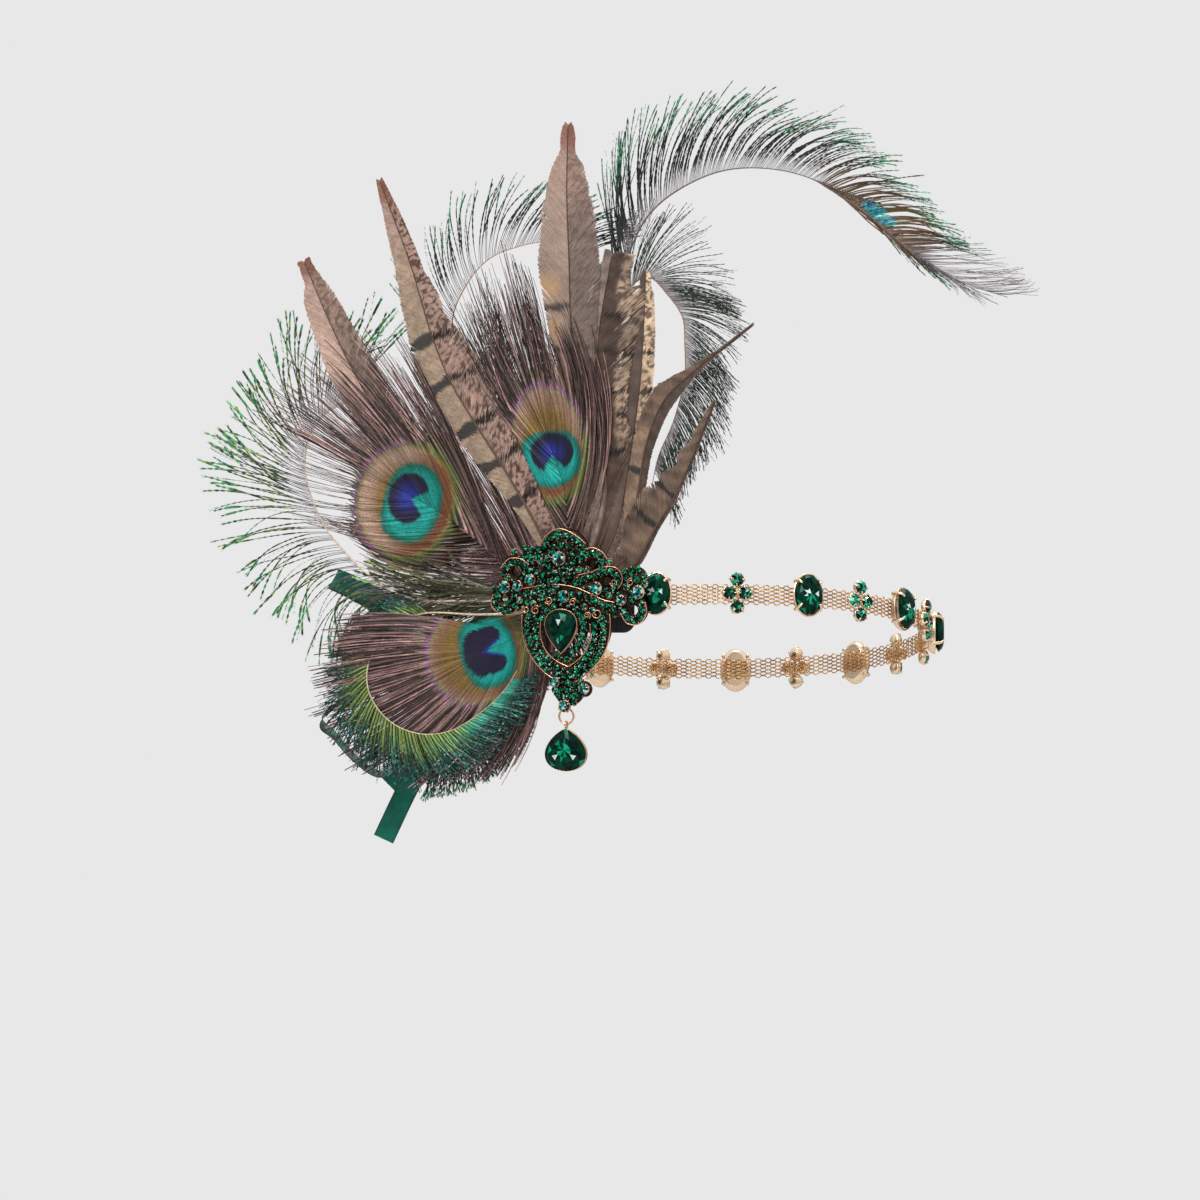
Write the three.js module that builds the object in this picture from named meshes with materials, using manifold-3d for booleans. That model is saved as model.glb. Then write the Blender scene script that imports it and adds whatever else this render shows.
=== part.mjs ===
// Flapper headpiece: a jewelled mesh band on a ribbon tie, with a brooch, a hanging drop and a feather spray.
// Millimetres, +Z up. The wearer's head goes up through the origin and the brooch side faces -Y.
import * as THREE from 'three';
import { ParametricGeometry } from 'three/addons/geometries/ParametricGeometry.js';
import { mergeVertices } from 'three/addons/utils/BufferGeometryUtils.js';
import Module from 'manifold-3d';

const wasm = await Module();
wasm.setup();

// Driving dimensions
const GAP = 0.3;
const WELD = 1e-4;

// Head loop: a rounded oval that leans up towards the brooch side
const LOOP_HALF_LENGTH = 95;
const LOOP_HALF_WIDTH = 83;
const LOOP_ROUNDNESS = 2.2;
const LOOP_LEAN = THREE.MathUtils.degToRad(11.8);

// Mesh band
const BAND_WIDTH = 9;
const BAND_THICKNESS = 1.2;
const BAND_NEAR_END_X = -35.6;
const BAND_FAR_END_X = -63.5;
const BAND_STEP = 7.5;

// Oval stones in claw cups
const OVAL_WIDTH = 12.8;
const OVAL_HEIGHT = 18.6;
const OVAL_SIDES = 12;
const CUP_DEPTH = 3.2;
const CUP_RIM = 0.7;
const STONE_DEPTH = 3.6;
const CLAW_WIDTH = 1.5;
const CLAW_THICKNESS = 0.7;
const CLAW_ANGLES = [38, 142, 218, 322];
// Shares of a stone's size at its seat and crown, and of its depth at its girdle and crown
const SEAT_SHARE = 0.86;
const CROWN_SHARE = 0.86;
const GIRDLE_REACH = 0.32;
const CROWN_REACH = 0.73;
const CUP_TAPER = 1;
const CUP_WAIST = 0.7;
const CLAW_REACH = 0.55;

// Crosses of four round stones
const CROSS_STONE_RADIUS = 3.2;
const CROSS_STONE_DEPTH = 3.9;
const CROSS_STONE_SIDES = 8;
const CROSS_HALF_HEIGHT = 6.2;
const CROSS_HALF_WIDTH = 3.5;
const CROSS_PLATE = 0.8;

// Ornaments along the band: the place of each foot across the head, on the brooch side or the far side
const NEAR = -1;
const FAR = 1;
const OVALS = [
  { x: -26.1, strand: NEAR },
  { x: 39.6, strand: NEAR },
  { x: 80.5, strand: NEAR },
  { x: 95, strand: NEAR },
  { x: 62.6, strand: FAR },
  { x: 9.9, strand: FAR },
  { x: -50.5, strand: FAR },
];
const CROSSES = [
  { x: 9, strand: NEAR },
  { x: 62.6, strand: NEAR },
  { x: 91.9, strand: NEAR },
  { x: 91.9, strand: FAR },
  { x: 80.5, strand: FAR },
  { x: 36.9, strand: FAR },
  { x: -22.5, strand: FAR },
];

// Brooch spray: everything pinned to the felt, turned to lie along the side of the head
const SPRAY_PLACE = [-65.25, -77, 18.9];
const SPRAY_TURN = THREE.MathUtils.degToRad(-20);
const FELT_WIDTH = 50;
const FELT_HEIGHT = 31;
const FELT_CORNER = 5;
const FELT_CENTRE = [2, -3.5];
const FELT_FRONT = 9.3;
const FELT_THICKNESS = 1.5;
const QUILL_RING = 11;
const QUILL_RADIUS = 0.8;
const VANE_FOOT_DEPTH = FELT_FRONT - GAP;
const PLUME_FOOT_DEPTH = VANE_FOOT_DEPTH - QUILL_RADIUS;

// Brooch metal, measured behind the spray's own front plane
const PLATE_FRONT = -4;
const PLATE_THICKNESS = 2.5;
const POST_RADIUS = 3;
const POST_HEIGHT = -1;
const CURVE_STEPS = 7;

// Pear stone of the brooch and the stone of the drop
const PEAR_CENTRE = [-2.3, -18.4];
const PEAR_WIDTH = 15;
const PEAR_HEIGHT = 19.4;
const PEAR_DEPTH = 4.2;
const PEAR_WALL = 1.1;
const DROP_WIDTH = 17.6;
const DROP_HEIGHT = 18.6;
const DROP_STONE_DEPTH = 3.4;
const DROP_CUP_DEPTH = 2;
// Brings the heavier cup forward, so that the drop's weight hangs under its loop
const DROP_BALANCE = 0.9;
const STONE_SIDES = 14;
const TABLE_SHARE = 0.6;
const CULET_SHARE = 0.72;

// Rings of the drop: the eye under the brooch, the jump ring and the drop's own loop
const RING_X = -0.7;
const RING_DEPTH = -2.2;
const EYE_HEIGHT = -52.4;
const EYE_RADIUS = 1.5;
const EYE_WIRE = 0.4;
const JUMP_RADIUS = 3.4;
const JUMP_WIRE = 0.45;
const WIRE_SIDES = 6;
const RING_SIDES = 16;
const WIRE_REACH = EYE_WIRE + JUMP_WIRE + GAP;
const SIDE_PIVOT_HEIGHT = EYE_HEIGHT - EYE_RADIUS;
const JUMP_HEIGHT = SIDE_PIVOT_HEIGHT + WIRE_REACH - JUMP_RADIUS;
const FRONT_PIVOT_HEIGHT = JUMP_HEIGHT - JUMP_RADIUS;
const DROP_LOOP_HEIGHT = FRONT_PIVOT_HEIGHT + WIRE_REACH - EYE_RADIUS;
const DROP_TOP_HEIGHT = DROP_LOOP_HEIGHT - EYE_RADIUS - EYE_WIRE;

// Satin ribbon
const RIBBON_WIDTH = 10;
const RIBBON_THICKNESS = 1;

const MATERIALS = {
  gilt: { color: 0xd9a86a, roughness: 0.28, metalness: 1 },
  mesh: { color: 0xd6b08a, roughness: 0.35, metalness: 1 },
  emerald: { color: 0x04684c, roughness: 0.05, metalness: 0.1 },
  felt: { color: 0x121212, roughness: 0.95, metalness: 0 },
  ribbon: { color: 0x14594b, roughness: 0.45, metalness: 0 },
  eyeFeather: { color: 0x1c7f78, roughness: 0.5, metalness: 0.2 },
  herl: { color: 0x2f4a3c, roughness: 0.5, metalness: 0.2 },
  pheasant: { color: 0x87705c, roughness: 0.75, metalness: 0 },
};

// Shared shape helpers

const point = (x, y, z) => new THREE.Vector3(x, y, z);

const material = (name) => new THREE.MeshStandardMaterial({ name, ...MATERIALS[name] });

function mesh(name, geometry, materialName) {
  const made = new THREE.Mesh(geometry, material(materialName));
  made.name = name;
  return made;
}

function solidOf(geometry) {
  const bare = new THREE.BufferGeometry();
  bare.setAttribute('position', geometry.getAttribute('position'));
  bare.setIndex(geometry.index);
  const welded = mergeVertices(bare, WELD);
  const corners = welded.index.array;
  const triangles = [];
  for (let i = 0; i < corners.length; i += 3) {
    const [a, b, c] = corners.slice(i, i + 3);
    if (a !== b && b !== c && c !== a) triangles.push(a, b, c);
  }
  const vertProperties = new Float32Array(welded.getAttribute('position').array);
  const triVerts = new Uint32Array(triangles);
  return new wasm.Manifold(new wasm.Mesh({ numProp: 3, vertProperties, triVerts }));
}

function geometryOf(solid) {
  const { numProp, vertProperties, triVerts } = solid.getMesh();
  const geometry = new THREE.BufferGeometry();
  geometry.setAttribute('position', new THREE.BufferAttribute(vertProperties, numProp));
  geometry.setIndex(new THREE.BufferAttribute(triVerts, 1));
  return geometry;
}

const fuse = (...shapes) => geometryOf(shapes.map(solidOf).reduce((sum, next) => sum.add(next)));

function cut(shape, ...tools) {
  const left = tools.map(solidOf).reduce((solid, tool) => solid.subtract(tool), solidOf(shape));
  return geometryOf(left);
}

// A closed skin over rows of points, where a row of one point is a pointed end
function skin(rows) {
  const sides = Math.max(...rows.map((row) => row.length));
  const surface = (u, v, target) => {
    const row = rows[Math.round(v * (rows.length - 1))];
    target.copy(row[Math.round(u * sides) % row.length]);
  };
  return geometryOf(solidOf(new ParametricGeometry(surface, sides, rows.length - 1)));
}

const middle = (ring) => ring.reduce((sum, p) => sum.add(p), point(0, 0, 0)).divideScalar(ring.length);

// A skin whose two ends are closed flat
const loft = (rings) => skin([[middle(rings[0])], ...rings, [middle(rings[rings.length - 1])]]);

// Reads a table whose rows start with a share of the length, with straight runs between rows
function readTable(table, share) {
  const next = table.findIndex((row) => row[0] >= share);
  if (next <= 0) return (next === 0 ? table[0] : table[table.length - 1]).slice(1);
  const [low, high] = [table[next - 1], table[next]];
  const blend = (share - low[0]) / (high[0] - low[0]);
  return low.slice(1).map((value, column) => THREE.MathUtils.lerp(value, high[column + 1], blend));
}

// A flat plate standing in the spray's plane, from its front face backwards
function plate(shape, front, thickness) {
  const geometry = new THREE.ExtrudeGeometry(shape, {
    depth: thickness,
    bevelEnabled: false,
    curveSegments: CURVE_STEPS,
  });
  return geometry.rotateX(Math.PI / 2).translate(0, front + thickness, 0);
}

// A turned shape whose axis points forwards, with its profile given as radius and reach to the front
function turned(profile, sides) {
  const points = profile.map(([radius, reach]) => new THREE.Vector2(radius, reach));
  return new THREE.LatheGeometry(points, sides).rotateX(Math.PI);
}

// A wire ring, standing across the view when side-on is asked for
function wireRing(radius, wire, sideOn) {
  const ring = new THREE.TorusGeometry(radius, wire, WIRE_SIDES, RING_SIDES);
  return sideOn ? ring.rotateY(Math.PI / 2) : ring.rotateX(Math.PI / 2);
}

// Head loop

function loopPoint(angle) {
  const bend = (value) => Math.sign(value) * Math.abs(value) ** (2 / LOOP_ROUNDNESS);
  const x = LOOP_HALF_LENGTH * bend(Math.cos(angle));
  const y = LOOP_HALF_WIDTH * bend(Math.sin(angle));
  return point(x, y, 0);
}

// The angle of the loop at a place across the head, on one of its two strands
function loopAngle(x, strand) {
  const cosine = Math.sign(x) * Math.abs(x / LOOP_HALF_LENGTH) ** (LOOP_ROUNDNESS / 2);
  return strand * Math.acos(cosine);
}

const TANGENT_STEP = 0.01;

function loopOutward(angle) {
  const along = loopPoint(angle + TANGENT_STEP).sub(loopPoint(angle - TANGENT_STEP)).normalize();
  return point(along.y, -along.x, 0);
}

function bandStrip(fromAngle, toAngle, steps) {
  const rings = [];
  for (let i = 0; i <= steps; i += 1) {
    const angle = THREE.MathUtils.lerp(fromAngle, toAngle, i / steps);
    const outward = loopOutward(angle).multiplyScalar(BAND_THICKNESS / 2);
    const inner = loopPoint(angle).sub(outward);
    const outer = loopPoint(angle).add(outward);
    const rise = point(0, 0, BAND_WIDTH / 2);
    rings.push([
      outer.clone().add(rise),
      outer.clone().sub(rise),
      inner.clone().sub(rise),
      inner.clone().add(rise),
    ]);
  }
  return loft(rings);
}

// Faceted stones and their cups

function ovalRing(width, height, front) {
  const ring = [];
  for (let i = 0; i < OVAL_SIDES; i += 1) {
    const angle = (2 * Math.PI * (i + 0.5)) / OVAL_SIDES;
    ring.push(point((width / 2) * Math.cos(angle), -front, (height / 2) * Math.sin(angle)));
  }
  return ring;
}

function ovalSetting() {
  const rim = 2 * CUP_RIM;
  const cup = loft([
    ovalRing(OVAL_WIDTH - CUP_TAPER, OVAL_HEIGHT - CUP_TAPER, 0),
    ovalRing(OVAL_WIDTH + rim, OVAL_HEIGHT + rim, CUP_DEPTH * CUP_WAIST),
    ovalRing(OVAL_WIDTH + rim, OVAL_HEIGHT + rim, CUP_DEPTH),
  ]);
  const claws = CLAW_ANGLES.map((degrees) => {
    const angle = THREE.MathUtils.degToRad(degrees);
    const tall = CUP_DEPTH + STONE_DEPTH * CLAW_REACH;
    const claw = new THREE.BoxGeometry(CLAW_THICKNESS, tall, CLAW_WIDTH);
    const reachX = OVAL_WIDTH / 2 + GAP + CLAW_THICKNESS / 2;
    const reachZ = OVAL_HEIGHT / 2 + GAP + CLAW_THICKNESS / 2;
    claw.rotateY(-Math.atan2(reachX * Math.sin(angle), reachZ * Math.cos(angle)));
    return claw.translate(reachX * Math.cos(angle), -tall / 2, reachZ * Math.sin(angle));
  });
  return fuse(cup, ...claws);
}

function ovalStone() {
  const seat = CUP_DEPTH + GAP;
  const row = (share, reach) =>
    ovalRing(OVAL_WIDTH * share, OVAL_HEIGHT * share, seat + STONE_DEPTH * reach);
  return loft([row(SEAT_SHARE, 0), row(1, GIRDLE_REACH), row(CROWN_SHARE, CROWN_REACH), row(TABLE_SHARE, 1)]);
}

// A round stone in its cup, from the plate it is soldered to
function chaton(radius, depth, sides) {
  return turned(
    [
      [0, 0],
      [radius * SEAT_SHARE, 0],
      [radius, depth / 2],
      [radius * TABLE_SHARE, depth],
      [0, depth],
    ],
    sides,
  );
}

function crossCluster() {
  const places = [
    [0, CROSS_HALF_HEIGHT],
    [0, -CROSS_HALF_HEIGHT],
    [-CROSS_HALF_WIDTH, 0],
    [CROSS_HALF_WIDTH, 0],
  ];
  const stones = places.map(([x, z]) => {
    const stone = chaton(CROSS_STONE_RADIUS, CROSS_STONE_DEPTH, CROSS_STONE_SIDES);
    return stone.rotateY(Math.PI / CROSS_STONE_SIDES).translate(x, 0, z);
  });
  const bar = new THREE.BoxGeometry(CROSS_HALF_WIDTH, CROSS_PLATE, 2 * CROSS_HALF_HEIGHT);
  return fuse(bar.translate(0, -CROSS_PLATE / 2, 0), ...stones);
}

// Brings a teardrop's widest place to its full width
const TEARDROP_SWELL = 1.28;

// A teardrop outline about its middle, with the point up or down
function teardrop(width, height, sharpness, pointUp, front, [x, z]) {
  const ring = [];
  for (let i = 0; i < STONE_SIDES; i += 1) {
    const angle = (2 * Math.PI * i) / STONE_SIDES;
    const across = TEARDROP_SWELL * Math.sin(angle) * Math.abs(Math.sin(angle / 2)) ** sharpness;
    const flip = pointUp ? 1 : -1;
    ring.push(point(x - flip * (width / 2) * across, -front, z + flip * (height / 2) * Math.cos(angle)));
  }
  return ring;
}

function teardropStone(width, height, sharpness, pointUp, seat, depth, centre) {
  const row = (share, reach) =>
    teardrop(width * share, height * share, sharpness, pointUp, seat + depth * reach, centre);
  return loft([
    row(CULET_SHARE, 0),
    row(1, GIRDLE_REACH),
    row(CROWN_SHARE, CROWN_REACH),
    row(TABLE_SHARE, 1),
  ]);
}

// Brooch

// Outline of the open pear frame round the main stone, inset from its outer edge
function pearFrame(inset) {
  const shape = new THREE.Shape();
  shape.moveTo(1, -42 + inset * 1.6);
  shape.bezierCurveTo(9, -36 + inset, 21 - inset, -28, 21 - inset, -15);
  shape.bezierCurveTo(21 - inset, -7, 15, -2 - inset, 1, -2 - inset);
  shape.bezierCurveTo(-14, -2 - inset, -21 + inset, -7, -21 + inset, -15);
  shape.bezierCurveTo(-21 + inset, -28, -7, -36 + inset, 1, -42 + inset * 1.6);
  return shape;
}

const PEAR_FRAME_WIDTH = 7.5;
const PEAR_WALL_RISE = 1.6;
const CUT_THROUGH = 1;

// Scrolls of the crest: place, outer radius and the open middle
const SCROLLS = [
  { x: -1, z: 16, radius: 11.5, hole: 0 },
  { x: -13, z: 10, radius: 7.5, hole: 2 },
  { x: -23.5, z: 8.5, radius: 7.5, hole: 2.4 },
  { x: 11.5, z: 11, radius: 8, hole: 2.2 },
  { x: 19, z: 3.5, radius: 7, hole: 2.2 },
  { x: 32, z: 4.5, radius: 6, hole: 0 },
  { x: 31.5, z: -9, radius: 6.5, hole: 2.2 },
  { x: -29.5, z: -3.5, radius: 6.5, hole: 1.8 },
  { x: -19, z: -1, radius: 8, hole: 0 },
  { x: 4, z: -2, radius: 12, hole: 0 },
  { x: 23, z: -6, radius: 6, hole: 0 },
  { x: 1, z: -44.5, radius: 7, hole: 0 },
];

// Round stones of the crest and foot: place and radius
const CHATONS = [
  { x: -4.2, z: 14, radius: 3.2 },
  { x: -17.1, z: 3.6, radius: 2.7 },
  { x: -23.3, z: 1.8, radius: 2.5 },
  { x: -30, z: 0.9, radius: 2.9 },
  { x: 13.5, z: 0.5, radius: 3.4 },
  { x: -1.3, z: -3.2, radius: 2.9 },
  { x: 26, z: -4.5, radius: 2.7 },
  { x: 33.6, z: -0.5, radius: 3.2 },
  { x: RING_X, z: -51.7, radius: 2.7 },
];
const CHATON_DEPTH = 2.4;
const CHATON_SIDES = 8;
const SCROLL_SIDES = 14;

function disc(x, z, radius, front, thickness, sides) {
  const round = new THREE.CylinderGeometry(radius, radius, thickness, sides);
  return round.translate(x, front + thickness / 2, z);
}

function broochFrame() {
  const ringShape = pearFrame(0);
  ringShape.holes.push(pearFrame(PEAR_FRAME_WIDTH));
  const ring = plate(ringShape, PLATE_FRONT, PLATE_THICKNESS);
  const scrolls = SCROLLS.map(({ x, z, radius }) =>
    disc(x, z, radius, PLATE_FRONT, PLATE_THICKNESS, SCROLL_SIDES),
  );
  const holes = SCROLLS.filter(({ hole }) => hole > 0).map(({ x, z, hole }) =>
    disc(x, z, hole, PLATE_FRONT - CUT_THROUGH, PLATE_THICKNESS + 2 * CUT_THROUGH, SCROLL_SIDES),
  );
  const stones = CHATONS.map(({ x, z, radius }) =>
    chaton(radius, CHATON_DEPTH, CHATON_SIDES).translate(x, PLATE_FRONT + GAP, z),
  );
  const cupRow = (extra, front) =>
    teardrop(PEAR_WIDTH + extra, PEAR_HEIGHT + extra, 1, false, front, PEAR_CENTRE);
  const cup = loft([
    cupRow(2 * PEAR_WALL, -PLATE_FRONT - PLATE_THICKNESS),
    cupRow(2 * PEAR_WALL, -PLATE_FRONT + PEAR_WALL_RISE),
  ]);
  const seat = loft([
    cupRow(2 * GAP, -PLATE_FRONT),
    cupRow(2 * GAP, -PLATE_FRONT + PEAR_WALL_RISE + CUT_THROUGH),
  ]);
  const eye = wireRing(EYE_RADIUS, EYE_WIRE, true).translate(RING_X, RING_DEPTH, EYE_HEIGHT);
  const postFront = PLATE_FRONT + PLATE_THICKNESS / 2;
  const postLength = FELT_FRONT - GAP - postFront;
  const post = disc(0, POST_HEIGHT, POST_RADIUS, postFront, postLength, SCROLL_SIDES);
  const metal = fuse(ring, ...scrolls, cup, eye, post);
  return fuse(cut(metal, seat, ...holes), ...stones);
}

function pearStone() {
  const seat = -PLATE_FRONT + GAP;
  return teardropStone(PEAR_WIDTH, PEAR_HEIGHT, 1, false, seat, PEAR_DEPTH, PEAR_CENTRE);
}

// Drop

const DROP_CENTRE = [RING_X, DROP_TOP_HEIGHT - DROP_HEIGHT / 2];
const DROP_BACK = DROP_BALANCE - RING_DEPTH - (DROP_CUP_DEPTH + DROP_STONE_DEPTH) / 2;
const DROP_SHARPNESS = 0.55;
const DROP_CUP_TAPER = 1.6;
const DROP_CUP_RIM = 0.6;

function dropSetting() {
  const row = (extra, front) =>
    teardrop(DROP_WIDTH + extra, DROP_HEIGHT + extra, DROP_SHARPNESS, true, front, DROP_CENTRE);
  const cup = loft([
    row(-DROP_CUP_TAPER, DROP_BACK),
    row(DROP_CUP_RIM, DROP_BACK + DROP_CUP_DEPTH * CUP_WAIST),
    row(DROP_CUP_RIM, DROP_BACK + DROP_CUP_DEPTH),
  ]);
  const loop = wireRing(EYE_RADIUS, EYE_WIRE, true).translate(RING_X, RING_DEPTH, DROP_LOOP_HEIGHT);
  return fuse(cup, loop);
}

function dropStone() {
  const seat = DROP_BACK + DROP_CUP_DEPTH + GAP;
  const depth = DROP_STONE_DEPTH - GAP;
  return teardropStone(DROP_WIDTH, DROP_HEIGHT, DROP_SHARPNESS, true, seat, depth, DROP_CENTRE);
}

// Feathers

// A spine from its quill's foot, on the ring behind the brooch where it is glued to the felt,
// through rows of right, up and depth behind the spray's front plane
function featherSpine(footDegrees, footDepth, rows) {
  const angle = THREE.MathUtils.degToRad(footDegrees);
  const foot = point(QUILL_RING * Math.cos(angle), footDepth, QUILL_RING * Math.sin(angle));
  const places = rows.map(([right, up, behind]) => point(right, behind, up));
  return new THREE.CatmullRomCurve3([foot, ...places], false, 'centripetal');
}

// The flat frame of a feather at a share of its spine, with left as seen from the front
function featherFrame(spine, share) {
  const place = spine.getPointAt(share);
  const along = spine.getTangentAt(share).setY(0).normalize();
  const left = point(-along.z, 0, along.x);
  return { place, along, left };
}

const VANE_HALF_THICKNESS = 0.35;
const RACHIS_RISE = 0.9;
const VANE_STEPS = 12;
const VANE_TIP = 1.5;
const RIDGE_SHARE = 0.6;
// Share of a rachis that is lost in thickness from its foot to its tip
const RACHIS_TAPER = 0.5;

// A closed vane with its raised rachis. The table's columns: share of the length, left and right half widths
function vane(spine, widths, lastShare) {
  const rows = [[spine.getPointAt(0)]];
  for (let i = 1; i <= VANE_STEPS; i += 1) {
    const share = (lastShare * i) / VANE_STEPS;
    const { place, left } = featherFrame(spine, share);
    const [toLeft, toRight] = readTable(widths, share);
    const side = (reach, front) => place.clone().addScaledVector(left, reach).add(point(0, -front, 0));
    const ridge = RIDGE_SHARE * Math.min(QUILL_RADIUS, toLeft, toRight);
    rows.push([
      side(toLeft, 0),
      side(ridge, VANE_HALF_THICKNESS),
      side(0, RACHIS_RISE * (1 - RACHIS_TAPER * share)),
      side(-ridge, VANE_HALF_THICKNESS),
      side(-toRight, 0),
      side(0, -VANE_HALF_THICKNESS),
    ]);
  }
  const tip = featherFrame(spine, lastShare);
  return skin([...rows, [tip.place.addScaledVector(tip.along, VANE_TIP)]]);
}

const RACHIS_STEPS = 30;
const RACHIS_SIDES = 4;

// A bare tapering rachis
function rachis(spine, steps) {
  const rows = [[spine.getPointAt(0)]];
  for (let i = 1; i <= steps; i += 1) {
    const share = i / (steps + 1);
    const { place, left } = featherFrame(spine, share);
    const radius = QUILL_RADIUS * (1 - RACHIS_TAPER * share);
    const ring = [];
    for (let k = 0; k < RACHIS_SIDES; k += 1) {
      const angle = (2 * Math.PI * k) / RACHIS_SIDES;
      const across = left.clone().multiplyScalar(radius * Math.cos(angle));
      ring.push(place.clone().add(across).add(point(0, -radius * Math.sin(angle), 0)));
    }
    rows.push(ring);
  }
  return skin([...rows, [spine.getPointAt(1)]]);
}

const LOCK_STEPS = 3;
const LOCK_HALF_THICKNESS = 0.4;
const LOCK_BEND = THREE.MathUtils.degToRad(16);
// Under one, it sets a lock's widest place nearer its root
const LOCK_SWELL = 0.8;

// A lock of barbs: a thin leaf that leaves the rachis at an angle and bends towards the tip
function barbLock(spine, side, { at, angle, length, width }) {
  const { place, along, left } = featherFrame(spine, at);
  const heading = (turn) =>
    along.clone().multiplyScalar(Math.cos(turn)).addScaledVector(left, side * Math.sin(turn));
  const start = THREE.MathUtils.degToRad(angle);
  const bend = place.clone().addScaledVector(heading(start), length / 2);
  const tip = bend.clone().addScaledVector(heading(start - LOCK_BEND), length / 2);
  const path = new THREE.QuadraticBezierCurve3(place, bend, tip);
  const rows = [[place]];
  for (let i = 1; i < LOCK_STEPS; i += 1) {
    const share = i / LOCK_STEPS;
    const middlePoint = path.getPoint(share);
    const direction = path.getTangent(share).setY(0).normalize();
    const across = point(-direction.z, 0, direction.x);
    const swell = Math.sin(Math.PI * share ** LOCK_SWELL);
    const edge = (reach) => middlePoint.clone().addScaledVector(across, (reach * width * swell) / 2);
    const face = (front) => middlePoint.clone().add(point(0, -front * LOCK_HALF_THICKNESS, 0));
    rows.push([edge(1), face(1), edge(-1), face(-1)]);
  }
  return skin([...rows, [tip]]);
}

// Locks at even steps between the first and last rows of a table: share, angle, length and width
function lockRow(spine, side, table, count) {
  const first = table[0][0];
  const last = table[table.length - 1][0];
  const locks = [];
  for (let i = 0; i < count; i += 1) {
    const at = THREE.MathUtils.lerp(first, last, i / (count - 1));
    const [angle, length, width] = readTable(table, at);
    locks.push(barbLock(spine, side, { at, angle, length, width }));
  }
  return locks;
}

const LEFT = 1;
const RIGHT = -1;

// Pheasant feathers. Spine rows: right, up, behind. Width rows: share, left, right
const PHEASANTS = [
  {
    name: 'pheasant_feather_1',
    foot: 156,
    spine: [[-27, 15, 7], [-57, 34, 6], [-86, 68, 5.2], [-106, 100, 5], [-118, 123, 6], [-130, 148, 8]],
    widths: [[0.16, 0.9, 0.9], [0.4, 8, 7], [0.6, 11.5, 11], [0.78, 11, 10], [0.92, 7.5, 6], [1, 3, 3]],
  },
  {
    name: 'pheasant_feather_2',
    foot: 138,
    spine: [
      [-16, 25, 6.5], [-30, 50, 4.2], [-46, 74, 3.8], [-58, 93, 3.8], [-67, 114, 3.8], [-77, 145, 4],
      [-93, 184, 6],
    ],
    widths: [
      [0.15, 0.9, 0.9], [0.25, 4, 3], [0.39, 10, 10], [0.51, 14, 16], [0.62, 12, 13], [0.79, 8.5, 5],
      [0.92, 4.5, 3.5], [1, 1.5, 1.5],
    ],
  },
  {
    name: 'pheasant_feather_3',
    foot: 92,
    spine: [
      [3, 27, 7.9], [6, 50, 7.4], [1, 86, 7.4], [-2, 118, 7.4], [-3, 148, 7.4], [-4, 176, 7.4],
      [-4, 208, 9],
    ],
    widths: [
      [0.16, 0.9, 0.9], [0.3, 2, 3], [0.45, 5, 7], [0.545, 11, 11.5], [0.68, 15.3, 14],
      [0.84, 11.3, 10.8], [0.94, 5.2, 5.2], [1, 1.2, 1.2],
    ],
  },
  {
    name: 'pheasant_feather_4',
    foot: 66,
    spine: [
      [11.5, 27, 8.4], [14, 42, 9.2], [11, 68, 9.4], [9, 94, 9.4], [11, 118, 9.4], [14, 135, 9.4],
      [17, 150, 9.4],
    ],
    widths: [
      [0.22, 0.9, 0.9], [0.34, 3, 4], [0.52, 5, 11], [0.71, 6, 16], [0.86, 6, 17], [0.96, 6, 12],
      [1, 4, 7],
    ],
  },
  {
    name: 'pheasant_feather_5',
    foot: 42,
    spine: [[18.5, 26, 8.4], [25, 63, 11], [29, 90, 11.2], [31, 117, 11.2], [32, 142, 11.2]],
    widths: [[0.2, 0.9, 0.9], [0.35, 3, 3], [0.55, 6, 5.5], [0.8, 7, 5.5], [0.94, 5, 4], [1, 1.5, 1.5]],
  },
  {
    name: 'pheasant_feather_6',
    foot: 240,
    spine: [[-15, -22, 7.6], [-31, -33, 6.4], [-50, -47, 6.2], [-64, -63, 6.2], [-73, -77, 7]],
    widths: [[0.25, 0.9, 0.9], [0.45, 7, 7], [0.7, 8, 8], [0.9, 6, 6], [1, 1.5, 1.5]],
  },
  {
    name: 'pheasant_small_1',
    foot: 28,
    spine: [[25, 16, 7.8], [30, 45, 7.2], [34, 66, 7.2], [42, 84, 7.2], [55, 96, 7.2], [85, 118, 6]],
    widths: [
      [0.25, 0.8, 0.8], [0.45, 5, 2.5], [0.62, 6, 3], [0.75, 2, 1.5], [0.85, 0.8, 0.8], [1, 0.5, 0.5],
    ],
  },
  {
    name: 'pheasant_small_2',
    foot: 15,
    spine: [[27, 10, 7], [39, 28, 5.2], [47, 40, 5], [55, 56, 5], [67, 84, 4.2]],
    widths: [[0.28, 0.8, 0.8], [0.5, 6, 3], [0.7, 11, 4], [0.85, 6, 2], [1, 0.6, 0.6]],
  },
];

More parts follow.
